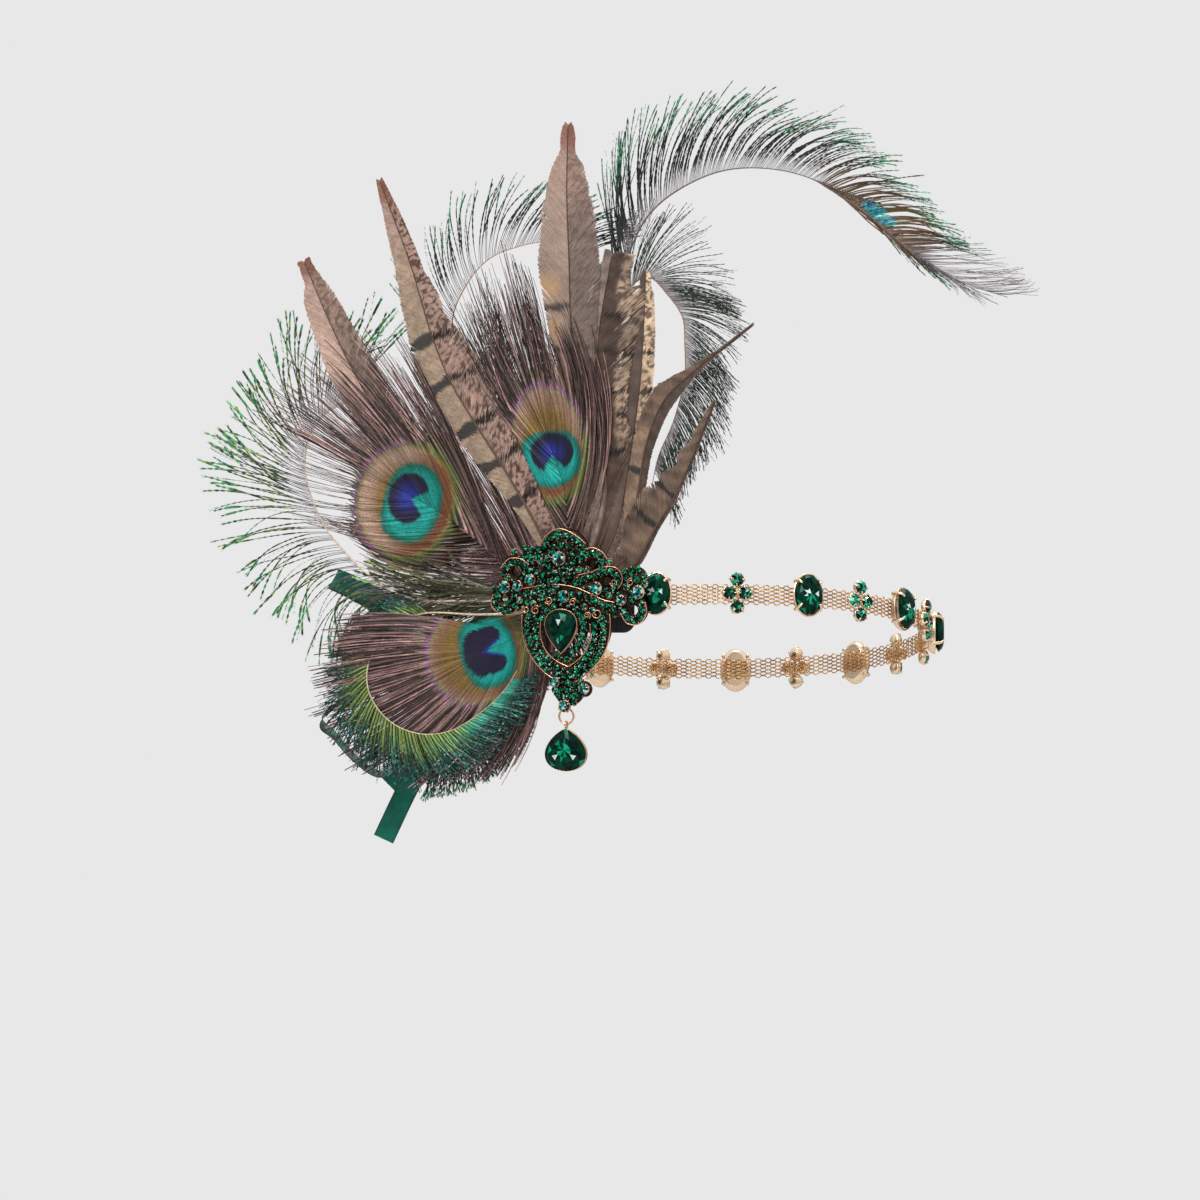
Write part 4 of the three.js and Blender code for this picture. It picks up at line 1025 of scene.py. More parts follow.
# Lengths and widths of the clouds and specks of the pattern
CLOUD_LENGTH = 9
CLOUD_WIDTH = 5
SPECK_LENGTH = 0.85
SPECK_WIDTH = 1.3
SPECKLE_CELLS = (160, 48)
FAINT_BAR = 0.25
ORANGE_RISE = 9
ORANGE_REACH = 5.5
TIP_BLUR = 0.012


def speckle(along, across, rng):
    """Soft random spots over a grid of cells, from 0 to 1."""
    rows, columns = SPECKLE_CELLS
    cells = rng.random((rows, columns))
    row, column = np.floor(along).astype(int), np.floor(across).astype(int)
    rise, run = along - row, across - column
    steps = ((0, 0), (1, 0), (0, 1), (1, 1))
    corners = [cells[(row + i) % rows, (column + j) % columns] for i, j in steps]
    near = corners[0] * (1 - rise) + corners[1] * rise
    far = corners[2] * (1 - rise) + corners[3] * rise
    return near * (1 - run) + far * run


def pheasant_pattern(look, spine, share, lateral, width, side, rng):
    """Colours of a barred vane from the share of the length and the share of the half width."""
    tone = mix(look["right"], look["left"], side > 0)
    tone = mix(tone, DARK_BROWN, look["dusky"] * smoothstep(0.5, 0.3, share))
    reach = share * spine.length
    streak = rng.normal(0, 1, (len(share), 1)) * np.ones_like(share)
    cloud = speckle(reach / CLOUD_LENGTH, lateral * width / CLOUD_WIDTH, rng)
    ripple = np.sin(reach * 0.9 + 2.5 * lateral + 5 * cloud)
    pale_edge = look["pale_edge"] * smoothstep(0.4, 0.6, lateral) * smoothstep(0.3, 0.45, share)
    tone = mix(tone, CREAM_GOLD, pale_edge * (side < 0))
    shade = 1 + look["mottle"] * (1.1 * (cloud - 0.5) + 0.2 * ripple) + 0.1 * streak
    colour = tone * shade[..., None]
    pale_top = smoothstep(0.66, 0.92, share)
    colour = mix(colour, PINK_TAN * (1 + 0.12 * streak[..., None]), 0.7 * pale_top * (look["tip"] < 1))
    spots = speckle(reach / SPECK_LENGTH, lateral * width / SPECK_WIDTH, rng) + 0.05 * streak
    specks = smoothstep(0.55, 0.65, spots) * look["flecks"] * (0.3 + 0.7 * (side < 0))
    colour = mix(colour, SPECK_BROWN, np.clip(specks, 0, 0.85))
    shown = 1.0 if look["bar_side"] in (BOTH, side) else FAINT_BAR
    for index, height in enumerate(look["bars"]):
        middle = spine.share_at_height(height) * spine.length + 2.2 * lateral * np.sin(1.3 * index + 0.6)
        half = look["bar"] * (0.62 + 0.5 * (side > 0)) * (1 + 0.25 * np.sin(3.1 * index + 5 * lateral))
        ragged = 0.3 * rng.normal(0, 1, (len(share), 1)) * (1 + 2 * (side < 0))
        inside = 1 - smoothstep(0.82, 1.06, np.abs(reach - middle + ragged) / half)
        colour = mix(colour, BAR_BROWN, 0.95 * inside * shown)
        if look["warm"]:
            glow = np.exp(-(((reach - middle - ORANGE_RISE) / ORANGE_REACH) ** 2))
            colour = mix(colour, ORANGE_TAN, 0.75 * glow * (side > 0) * smoothstep(0.1, 0.5, lateral))
    rust = smoothstep(look["tip"] - TIP_BLUR, look["tip"] + TIP_BLUR, share + TIP_BLUR * streak)
    return mix(colour, RUST_TIP * (1 + 0.12 * streak[..., None]), rust)


def add_pheasant(piece, look, rng):
    spine = feather_spine(look["foot"], VANE_FOOT_DEPTH, look["spine"])
    first = look["widths"][0][0]
    count = int((1 - first) * spine.length / VANE_SPACING)
    roots = np.linspace(first, VANE_END, count)
    share = np.linspace(0, 1, look["steps"])[None, :]
    for side in (LEFT, RIGHT):
        column = 0 if side == LEFT else 1
        slant = VANE_SLANT + VANE_SLANT_WAVE * np.sin(roots * 40) + rng.normal(0, 0.8, count)
        gain = 1 / np.tan(np.radians(slant)) / spine.length
        width = read_table(look["widths"], np.clip(roots + 0.02, 0, 1))[column]
        end = np.clip(roots + width * gain, 0, 1)
        width = read_table(look["widths"], end)[column] * (1 + rng.normal(0, 0.02, count))
        split = np.maximum(0, np.sin(roots * spine.length * 0.17 + 2.0 * side)) ** 14
        climb = (width * gain)[:, None] * share * (1 - 0.18 * share)
        climb = np.minimum(climb + 0.004 * split[:, None] * share**2, VANE_LIMIT - roots[:, None])
        lateral = width[:, None] * share**0.92
        where = np.clip(roots[:, None] + climb, 0, 1)
        place, along, left = spine.frames(where.ravel())
        shape = (*where.shape, 3)
        over = (roots[:, None] + climb - where) * spine.length
        paths = place.reshape(shape) + side * lateral[..., None] * left.reshape(shape)
        paths += over[..., None] * along.reshape(shape)
        camber = VANE_CAMBER * lateral**1.5 * (1.0 if side == RIGHT else 0.7)
        paths[..., 1] += np.minimum(camber, VANE_CAMBER_LIMIT) + rng.normal(0, 0.03, (count, 1))
        half = np.full(where.shape, VANE_HALF_BARB) * (1 - 0.3 * share**4)
        twist = np.full(where.shape, VANE_TWIST) * side + rng.normal(0, 0.08, (count, 1))
        spread = np.broadcast_to(share, where.shape)
        tints = pheasant_pattern(look, spine, where, spread, width[:, None], side, rng)
        # Painted light along one edge of each barb and painted shade along the other
        add_strips(piece, paths, half, tints, twist, 0.12 * side)
    add_rachis(piece, spine, 0.99, (0.75, 0.18), VANE_QUILL, rise=0.25)


build_feathers(PHEASANTS, PLAIN_VANE, add_pheasant, SEED, "vane", PHEASANT, "pheasant_feather")


# Peacock eye feathers

EYE_NAVY = linear(26, 20, 46)
EYE_BLUE = linear(34, 46, 142)
EYE_TURQUOISE = linear(16, 150, 140)
EYE_GREEN = linear(12, 96, 80)
EYE_GOLD = linear(124, 97, 50)
EYE_PINK = linear(142, 98, 90)
EYE_COPPER = linear(112, 66, 42)
EYE_LIME = linear(134, 138, 74)
EYE_MAGENTA = linear(152, 98, 138)
BARB_BROWN = linear(92, 72, 64)
BARB_PINK = linear(168, 128, 126)
BARB_GREEN = linear(92, 98, 54)
BARB_DARK = linear(40, 34, 31)

# A plain eye feather: how far its loose left barbs fall back, whether the blue is in lobes, how blushed its
# ring is, the share of dark loose barbs, how pink the brownest of them is, and the left barbs that end at the
# ring, as the share of the spine where they start and how many end
PLAIN_EYE = {"behind": 0.0, "lobed": False, "blush": 0.0, "dark": 0.3, "pink": 0.4, "ended": None}
# Barb rows: share, angle, length and bend. The eye, in millimetres: the middle of its outer ring on the
# spray, how far its axis leans left of up, in degrees, the ring's half sizes along and across that axis,
# then the shift along the axis, the shift to the left and the half sizes of the turquoise and of the blue,
# how much of the blue shines and how narrow its notch is. The barbs: their spacing, the share of its
# length that the shortest keeps and how thick the loose ones of each side are
EYES = {
    "peacock_eye_feather_1": {
        "foot": 106,
        "spine": [
            (-3, 27, 6.6), (-5, 47, 5.6), (-10, 61, 5.6), (-14, 76, 5.6), (-19, 99, 5.6), (-23, 126, 5.6),
            (-27, 149, 6.4),
        ],
        "left_barbs": [
            (0.0, 50, 100, 44), (0.07, 38, 122, 40), (0.14, 32, 116, 32), (0.28, 34, 92, 26),
            (0.38, 24, 84, 18), (0.44, 0, 84, 0),
        ],
        "right_barbs": [
            (0.0, 34, 96, 50), (0.07, 28, 104, 48), (0.14, 26, 96, 48), (0.28, 30, 80, 42),
            (0.38, 22, 80, 26), (0.44, 0, 84, 0),
        ],
        "middle": (-12.1, 65.2), "lean": 8, "ring": (24.5, 16.2), "turquoise": (-7.2, 0.0, 12.6, 14.4),
        "blue": (-4.0, -1.2, 8.6, 10.2), "glow": 0.75, "notch": 1.6, "spacing": 0.28, "shortest": 0.72,
        "fine": (0.95, 0.95), "pink": 0.0, "blush": 0.3, "dark": 0.5,
    },
    "peacock_eye_feather_2": {
        "foot": 174,
        "spine": [
            (-28, 7, 5.5), (-39, 17, 3), (-58, 32, 2), (-76, 42, 2), (-97, 53, 2), (-116, 68, 2),
            (-138, 88, 3),
        ],
        "left_barbs": [
            (0.0, 34, 90, 20), (0.06, 42, 90, 30), (0.2, 50, 84, 34), (0.36, 50, 82, 30), (0.47, 30, 82, 18),
            (0.53, 0, 84, 0),
        ],
        "right_barbs": [
            (0.0, 57, 112, 8), (0.05, 48, 116, 10), (0.12, 33, 118, 10), (0.2, 20, 114, 12),
            (0.28, 29, 106, 20), (0.36, 40, 98, 28), (0.47, 30, 86, 18), (0.53, 0, 84, 0),
        ],
        "middle": (-78.8, 39.6), "lean": 72, "ring": (22.5, 25.0), "turquoise": (-3.6, 0.0, 13.6, 18.0),
        "blue": (-1.0, -2.0, 9.6, 11.4), "glow": 0.8, "notch": 1.45, "spacing": 0.275, "shortest": 0.5,
        "fine": (0.75, 1.05), "behind": 12.0, "blush": 0.65, "ended": (0.2, 0.6),
    },
    "peacock_eye_feather_3": {
        "foot": 222,
        "spine": [(-22, -19, 5.6), (-39, -26, 4), (-59, -32, 4), (-83, -43, 4), (-109, -56, 5)],
        "left_barbs": [
            (0.0, 50, 48, 40), (0.06, 56, 60, 42), (0.12, 58, 74, 42), (0.24, 52, 82, 36), (0.33, 30, 86, 20),
            (0.38, 0, 82, 0),
        ],
        "right_barbs": [
            (0.0, 36, 96, 30), (0.12, 42, 92, 34), (0.24, 44, 84, 30), (0.33, 28, 80, 18), (0.38, 0, 78, 0),
        ],
        "middle": (-46.2, -28.8), "lean": 106, "ring": (21.5, 21.5), "turquoise": (-6.0, 0.0, 13.0, 16.4),
        "blue": (-4.2, 0.0, 9.6, 11.2), "glow": 0.35, "notch": 2.6, "lobed": True, "spacing": 0.2,
        "shortest": 0.85, "fine": (1.45, 1.4),
    },
}
EYE_SEED = SEED + 20
# Barbs lie in lines, of which the first few barbs are painted dark as the shade in the gaps between lines,
# and the rest painted lighter
LINE_BARBS = 7
LINE_GAP = 3
LINE_PAINTED_SHADE = -0.84
LINE_PAINTED_LIGHT = 0.42
EYE_LOCK = (4, 9)
EYE_HALF_BARB = 0.45
# Steps along each barb, closer together near its root
EYE_SHARES = np.linspace(0, 1, 45) ** 1.4
# Roots and steps that measure how a vane spreads, and the step where its barbs are spaced
SPREAD_ROOTS = 400
SPREAD_SHARES = np.linspace(0, 1, 5)
SPREAD_STEP = 3


def eye_places(look, points):
    """Where points lie in the eye: out from each zone's middle, where 1 is its edge, and along its axis."""
    lean = math.radians(look["lean"])
    along = np.array([-math.sin(lean), 0.0, math.cos(lean)])
    left = np.array([-math.cos(lean), 0.0, -math.sin(lean)])
    right, up = look["middle"]
    offset = points - np.array([right, 0.0, up])
    forward, sideways = offset @ along, offset @ left

    def zone(name):
        shift, aside, long, wide = look[name]
        return (forward - shift) / long, (sideways - aside) / wide

    half_along, half_across = look["ring"]
    ring = np.hypot(forward / half_along, sideways / half_across)
    ahead, beside = zone("turquoise")
    round_end = np.hypot(ahead, beside)
    flat_end = (np.abs(ahead) ** 4 + np.abs(beside) ** 4) ** 0.25
    turquoise = np.where(ahead > 0, flat_end * 0.55 + round_end * 0.45, round_end)
    ahead, beside = zone("blue")
    beside = np.abs(beside)
    notch = -(ahead + 0.12) - look["notch"] * beside
    if look["lobed"]:
        lobes = np.hypot((ahead + 0.25) / 0.72, (beside - 0.48) / 0.46)
        blue = np.minimum(np.hypot((ahead - 0.35) / 0.65, beside / 0.94), lobes)
        core = -notch
    else:
        blue = np.hypot(ahead, beside)
        core = np.maximum(beside, 0.9 * blue)
    return ring, turquoise, blue, notch, core, forward / half_along


def eye_colours(look, paths, rng):
    """Colours of eye barbs: navy, turquoise, bronze and lime zones, then the loose brown and green."""
    count = len(paths)
    fringe = 0.02 * rng.normal(0, 1, (count, 1))
    ring, turquoise, blue, notch, core, forward = eye_places(look, paths)
    ring, turquoise, blue = ring + fringe, turquoise + fringe, blue + fringe
    outside = (0.3 + 0.7 * smoothstep(0.95, 1.15, ring))[..., None]
    line = np.arange(count) // LINE_BARBS
    streak = 1 + 0.3 * outside * np.clip(rng.normal(0, 1, (count, 1, 1)), -2, 2)[line]
    share = EYE_SHARES[None, :]
    dash = 0.5 + 0.5 * np.sin(share * rng.uniform(36, 60, (count, 1)) + rng.random((count, 1)) * 6)
    loose = mix(BARB_BROWN, BARB_PINK, (0.4 + 0.6 * dash) * rng.uniform(look["pink"], 1, (count, 1)))
    loose = mix(loose, BARB_GREEN, smoothstep(1.7, 1.05, ring) * 0.5 * rng.random((count, 1)))
    loose = mix(loose, BARB_DARK, 0.8 * (rng.random((count, 1)) < look["dark"]) * np.ones_like(ring))
    bronze = mix(EYE_GOLD, EYE_PINK, smoothstep(0.7, 1.0, ring))
    bronze = mix(bronze, EYE_COPPER, smoothstep(0.15, -0.6, forward))
    blush = look["blush"] * smoothstep(0.5, 0.85, ring) * smoothstep(-0.3, 0.3, forward)
    bronze = mix(bronze, PINK_TAN, blush)
    lime = smoothstep(0.95, 0.97, ring) * (0.35 + 0.65 * smoothstep(-0.4, 0.4, forward))
    colour = mix(bronze, EYE_LIME, lime)
    fringed = mix(BARB_GREEN, EYE_MAGENTA, smoothstep(-0.1, 0.5, forward) * (0.4 + 0.6 * dash))
    colour = mix(colour, fringed, smoothstep(1.0, 1.02, ring))
    colour = mix(colour, loose, smoothstep(1.08, 1.18, ring))
    teal = mix(EYE_TURQUOISE, EYE_GREEN, smoothstep(0.72, 1.0, turquoise))
    colour = mix(colour, teal, smoothstep(1.05, 0.98, turquoise))
    inside = smoothstep(1.03, 0.97, blue) * smoothstep(0.12, -0.02, notch)
    navy = mix(EYE_BLUE, EYE_NAVY, smoothstep(0, look["glow"], core))
    # Painted shade in the gaps between lines of barbs and painted light on the rest, mostly outside the ring
    painted_gap_shade = np.where(np.arange(count) % LINE_BARBS < LINE_GAP, LINE_PAINTED_SHADE, LINE_PAINTED_LIGHT)[:, None, None]
    return mix(colour, navy, inside) * streak * (1 + outside * painted_gap_shade)


def spread_roots(spine, table, side, spacing):
    """Roots of barbs that lie evenly beside each other where the vane is wide."""
    roots = np.linspace(table[0][0], table[-1][0], SPREAD_ROOTS)
    paths = barb_paths(spine, roots, side, *read_table(table, roots), SPREAD_SHARES)
    reach = run_lengths(paths[:, SPREAD_STEP])
    return np.interp(np.arange(0, reach[-1], spacing), reach, roots)


def shortened(paths, ends):
    """Barbs that end at a share of their own length."""
    points = []
    for path, end in zip(paths, ends):
        points.append([np.interp(end * EYE_SHARES, EYE_SHARES, path[:, axis]) for axis in range(3)])
    return np.array(points).transpose(0, 2, 1)


def add_eye_feather(piece, look, rng):
    spine = feather_spine(look["foot"], VANE_FOOT_DEPTH, look["spine"])
    share = EYE_SHARES[None, :]
    for side, table, fine in zip((LEFT, RIGHT), (look["left_barbs"], look["right_barbs"]), look["fine"]):
        roots = spread_roots(spine, table, side, look["spacing"])
        count = len(roots)
        angles, lengths, bends = read_table(table, roots)
        inner, lock = clumped(count, rng, *EYE_LOCK)
        angles = angles + rng.normal(0, 0.3, count) - 0.2 * inner
        bends = bends + rng.normal(0, 1.0, count) - 1.0 * inner
        lengths = lengths * rng.uniform(look["shortest"], 1.04, count)
        lengths = lengths * rng.uniform(0.92, 1.04, lock.max() + 1)[lock]
        paths = barb_paths(spine, roots, side, angles, lengths, bends, EYE_SHARES)
        if look["ended"] and side == LEFT:
            begin, given_up = look["ended"]
            past = np.argmax(eye_places(look, paths)[0] > 1.04, axis=1)
            short = (roots > begin) & (rng.random(count) < given_up) & (past > 0)
            paths = shortened(paths, np.where(short, EYE_SHARES[past], 1.0))
        loose = smoothstep(0.98, 1.5, eye_places(look, paths)[0])
        wandered = wander_paths(paths, rng, 0.9, 0.45)
        paths = paths * (1 - loose[..., None]) + wandered * loose[..., None]
        paths[..., 1] += look["behind"] * (side == LEFT) * loose - 0.3
        tints = eye_colours(look, paths, rng)
        dash = 0.5 + 0.5 * np.sin(share * lengths[:, None] * 2.4 + rng.random((count, 1)) * 6)
        thin = (0.2 + 0.13 * dash) * (1.1 - 0.65 * share) * fine
        half = EYE_HALF_BARB * (1 - loose) + thin * loose
        twist = 0.02 * side + rng.normal(0, 0.1, (count, 1)) + 0.3 * loose * rng.normal(0, 1, (count, 1))
        # Painted light along one edge of each barb and painted shade along the other
        add_strips(piece, paths, half, tints, twist, 0.5 * side)
        barbules = 0.95 * fine * loose * (1.1 - 0.7 * share) * (dash > 0.3)
        add_barbules(piece, paths, barbules, tints * 0.85, rng)
    end = look["left_barbs"][-1][0]
    add_rachis(piece, spine, end, (0.7, 0.15), (BARB_BROWN, EYE_COPPER), rise=-0.2)


build_feathers(EYES, PLAIN_EYE, add_eye_feather, EYE_SEED, "barbs", PEACOCK, "peacock_eye")


# Herl plumes

HERL_PALE = linear(120, 110, 114)
HERL_DARK = linear(34, 40, 36)
HERL_GREEN = linear(60, 160, 104)
HERL_TEAL = linear(44, 172, 152)
HERL_LIME = linear(156, 186, 90)
HERL_OLIVE = linear(92, 88, 54)
HERL_SAGE = linear(98, 114, 92)
CREAM_QUILL = linear(226, 202, 176)
TAN_QUILL = linear(186, 142, 98)

# A plain plume: how thick and how fuzzy its barbs are, how far they stray from their rows and curl, how full
# the barbules and how plump the barbs are near their tips, and how its quill tapers. Further, where it has
# them: barbs on its inner side, a stretch of the spine and the share of barbs kept there, the shares where
# its lime, its olive and its faded end give way, and its small eye
PLAIN_HERL = {
    "fine": 1.0, "fuzz": 1.0, "tidy": 1.0, "curl": 5, "tuft": 0.7, "plump": 0.0, "taper": RACHIS_TAPER,
    "inner": None, "sparse": None, "lime": None, "olive": None, "faded": None, "eye": None,
}
# Barb rows: share, angle, length and bend. Spine rows as above. Bare: the share of each barb with no fuzz.
# The small eye: right, up, how far its axis points down to the right, in degrees, half its length and half
# its width
HERLS = {
    "herl_plume_1": {
        "foot": 78, "side": LEFT, "spacing": 0.66, "bare": 0.14, "tips": (HERL_DARK, HERL_GREEN),
        "lock": (3, 6), "quill": (BARB_BROWN, HERL_PALE), "fine": 0.9, "faded": 0.85,
        "eye": (141.4, 166.0, 34, 10.0, 3.0),
        "spine": [
            (7, 27, 8.3), (14, 63, 12), (18, 112, 13), (22, 145, 13), (34, 168, 13), (58, 183, 13),
            (79, 187, 13), (106, 183, 13), (130, 170, 12), (155, 151, 10), (180, 136, 7), (205, 128, 4),
        ],
        "barbs": [
            (0.36, 26, 56, 14), (0.47, 56, 52, 44), (0.6, 64, 46, 52), (0.7, 58, 42, 44), (0.8, 48, 38, 30),
            (0.9, 26, 36, -6), (0.98, 10, 22, -20),
        ],
        "inner": [(0.68, 6, 36, 7), (0.8, 6, 30, 6), (0.92, 5, 24, 2)],
    },
    "herl_plume_2": {
        "foot": 122, "side": LEFT, "spacing": 0.9, "bare": 0.3, "tips": (HERL_DARK, HERL_GREEN),
        "lock": (2, 4), "quill": (TAN_QUILL, TAN_QUILL),
        "spine": [
            (-9, 27, 8.3), (-28, 52, 13), (-53, 94, 16.4), (-62, 119, 16.6), (-54, 138, 16.6),
            (-44, 148, 16.6), (-31, 153, 16.6), (-17, 155, 16.6), (9, 148, 16.6),
        ],
        "barbs": [(0.56, 56, 44, 30), (0.72, 58, 41, 34), (0.85, 54, 36, 34), (0.97, 44, 30, 26)],
    },
    "herl_plume_3": {
        "foot": 54, "side": LEFT, "spacing": 0.24, "bare": 0.12, "tips": (HERL_SAGE, HERL_DARK),
        "lock": (3, 6), "quill": (BARB_BROWN, TAN_QUILL), "fine": 0.6, "tidy": 0.35, "fuzz": 0.5,
        "spine": [
            (14, 27, 8.4), (19, 46, 11.4), (19, 63, 13), (18, 108, 14.8), (23, 134, 14.8), (32, 139, 14.8),
            (41, 131, 14.8), (48, 121, 14.8), (49, 109, 14.8), (49, 95, 14.8), (44, 75, 14), (37, 59, 13.4),
            (34, 45, 13),
        ],
        "barbs": [
            (0.5, 36, 40, 24), (0.58, 46, 40, 28), (0.66, 56, 34, 26), (0.8, 58, 33, 28), (0.97, 44, 26, 20),
        ],
    },
    "herl_plume_4": {
        "foot": 190, "side": LEFT, "spacing": 0.66, "bare": 0.2, "tips": (HERL_LIME, HERL_GREEN),
        "lock": (3, 6), "quill": (CREAM_QUILL, CREAM_QUILL), "olive": 0.34, "curl": 18, "tuft": 1.6,
        "plump": 0.35, "sparse": (0.38, 0.66, 0.55), "taper": 1.1,
        "spine": [
            (-28, -4, 8.3), (-61, -5, 9.8), (-79, -4, 10.2), (-96, 4, 10.2), (-110, 16, 10.2),
            (-121, 29, 10.2), (-127, 42, 10.2), (-130, 55, 10.2), (-128, 68, 10.2), (-120, 79, 10.2),
            (-104, 86, 11),
        ],
        "barbs": [
            (0.06, 12, 60, 6), (0.2, 22, 64, -40), (0.32, 28, 72, -104), (0.45, 38, 68, -96),
            (0.6, 54, 58, -34), (0.75, 58, 54, 22), (0.9, 56, 56, 34), (0.98, 44, 50, 30),
        ],
        "inner": [(0.02, 14, 52, 4), (0.14, 18, 54, 8), (0.3, 20, 40, 14)],
    },
    "herl_plume_5": {
        "foot": 206, "side": RIGHT, "spacing": 0.26, "bare": 0.3, "tips": (HERL_TEAL, HERL_DARK),
        "lock": (3, 5), "quill": (CREAM_QUILL, CREAM_QUILL), "lime": 0.72, "tidy": 0.3, "fuzz": 0.22,
        "spine": [
            (-27, -10, 8), (-46, -11, 7.4), (-74, -11, 7.2), (-88, -19, 6), (-97, -33, 3.4),
            (-96, -46, 1.8), (-87, -58, 1.6), (-73, -64, 1.6), (-58, -63, 1.6), (-42, -54, 1.6),
            (-31, -44, 1.6), (-25, -35, 1.6),
        ],
        "barbs": [
            (0.3, 44, 20, 20), (0.42, 56, 22, 10), (0.52, 56, 28, 6), (0.64, 62, 30, 18), (0.78, 62, 26, 22),
            (0.97, 50, 15, 10),
        ],
    },
    "herl_plume_6": {
        "foot": 258, "side": LEFT, "spacing": 0.34, "bare": 0.0, "tips": (BARB_DARK, HERL_GREEN),
        "lock": (2, 4), "quill": (BARB_BROWN, BARB_BROWN),
        "spine": [
            (-6, -26, 8.3), (-11, -37, 8.6), (-21, -48, 8.6), (-34, -63, 8.6), (-54, -77, 8.6),
            (-74, -84, 8.6),
        ],
        "barbs": [
            (0.0, 52, 18, 4), (0.06, 42, 22, 6), (0.12, 32, 22, 6), (0.22, 40, 3, 8), (0.4, 60, 3, 8),
            (0.5, 88, 11, 10), (0.7, 85, 14, 10), (0.96, 60, 12, 10),
        ],
    },
}
HERL_SEED = SEED + 40
HERL_SHARES = np.linspace(0, 1, 36)
HERL_LEAN = 0.82
# How many barbs a line of lime and one of olive has, and how many of them are dark
LIME_LINE = (6, 3)
OLIVE_LINE = (5, 2)
# How far copper reaches along and across a small eye, in its half sizes
COPPER_REACH = (4.0, 5.0)


def herl_eye(look, paths):
    """Copper round a plume's small eye and the turquoise of its middle, from 0 to 1."""
    right, up, degrees, long, wide = look["eye"]
    offset = paths - np.array([right, 0.0, up])
    turn = math.radians(degrees)
    along = offset @ np.array([math.cos(turn), 0.0, -math.sin(turn)])
    across = offset @ np.array([math.sin(turn), 0.0, math.cos(turn)])
    around = np.hypot(along / (COPPER_REACH[0] * long), across / (COPPER_REACH[1] * wide))
    return smoothstep(1.15, 0.55, around), smoothstep(1.1, 0.8, np.hypot(along / long, across / wide))


def dark_lines(count, line):
    """1 for the first barbs of each line and 0 for the rest."""
    barbs, dark = line
    return (np.arange(count) % barbs < dark)[:, None] * np.ones_like(HERL_SHARES)


def herl_colours(look, roots, paths, rng):
    """Colours of loose barbs: pale and bare at the root, then dark dashes with green and teal."""
    count, steps = paths.shape[:2]
    share = HERL_SHARES[None, :] * np.ones((count, 1))
    near, tip = look["tips"]
    glint = rng.random((count, steps))
    dark = mix(HERL_DARK, near, smoothstep(0.45, 0.95, glint) * (0.35 + 0.65 * share))
    dark = mix(dark, tip, smoothstep(0.55, 0.95, share) * (rng.random((count, steps)) < 0.55))
    root_tone = HERL_TEAL if look["lime"] else HERL_PALE
    colour = mix(root_tone, dark, smoothstep(look["bare"] - 0.12, look["bare"] + 0.12, share))
    if look["lime"]:
        lime = mix(HERL_LIME, HERL_DARK, 0.9 * dark_lines(count, LIME_LINE))
        turning = share + 0.1 * rng.normal(0, 1, (count, 1)) + 0.5 * smoothstep(0.68, 0.9, roots)[:, None]
        colour = mix(lime, colour, smoothstep(0.2, look["lime"], turning))
    if look["olive"]:
        olive = mix(HERL_OLIVE, BARB_BROWN, glint * rng.random((count, 1)))
        olive = mix(olive, HERL_LIME, 0.8 * (rng.random((count, 1)) < 0.22) * share)
        olive = mix(olive, HERL_DARK, 0.8 * dark_lines(count, OLIVE_LINE))
        colour = mix(olive, colour, smoothstep(look["olive"] - 0.1, look["olive"] + 0.04, roots)[:, None])
    if look["eye"]:
        copper, turquoise = herl_eye(look, paths)
        warm = mix(EYE_COPPER, HERL_OLIVE, rng.random((count, 1)))
        colour = mix(colour, warm, 0.8 * copper)
        pale = HERL_PALE * rng.uniform(0.8, 1.4, (count, 1, 1))
        colour = mix(colour, pale, smoothstep(look["faded"] - 0.03, look["faded"] + 0.03, roots)[:, None])
        colour = mix(colour, mix(EYE_TURQUOISE, EYE_BLUE, glint < 0.25), turquoise)
    return colour


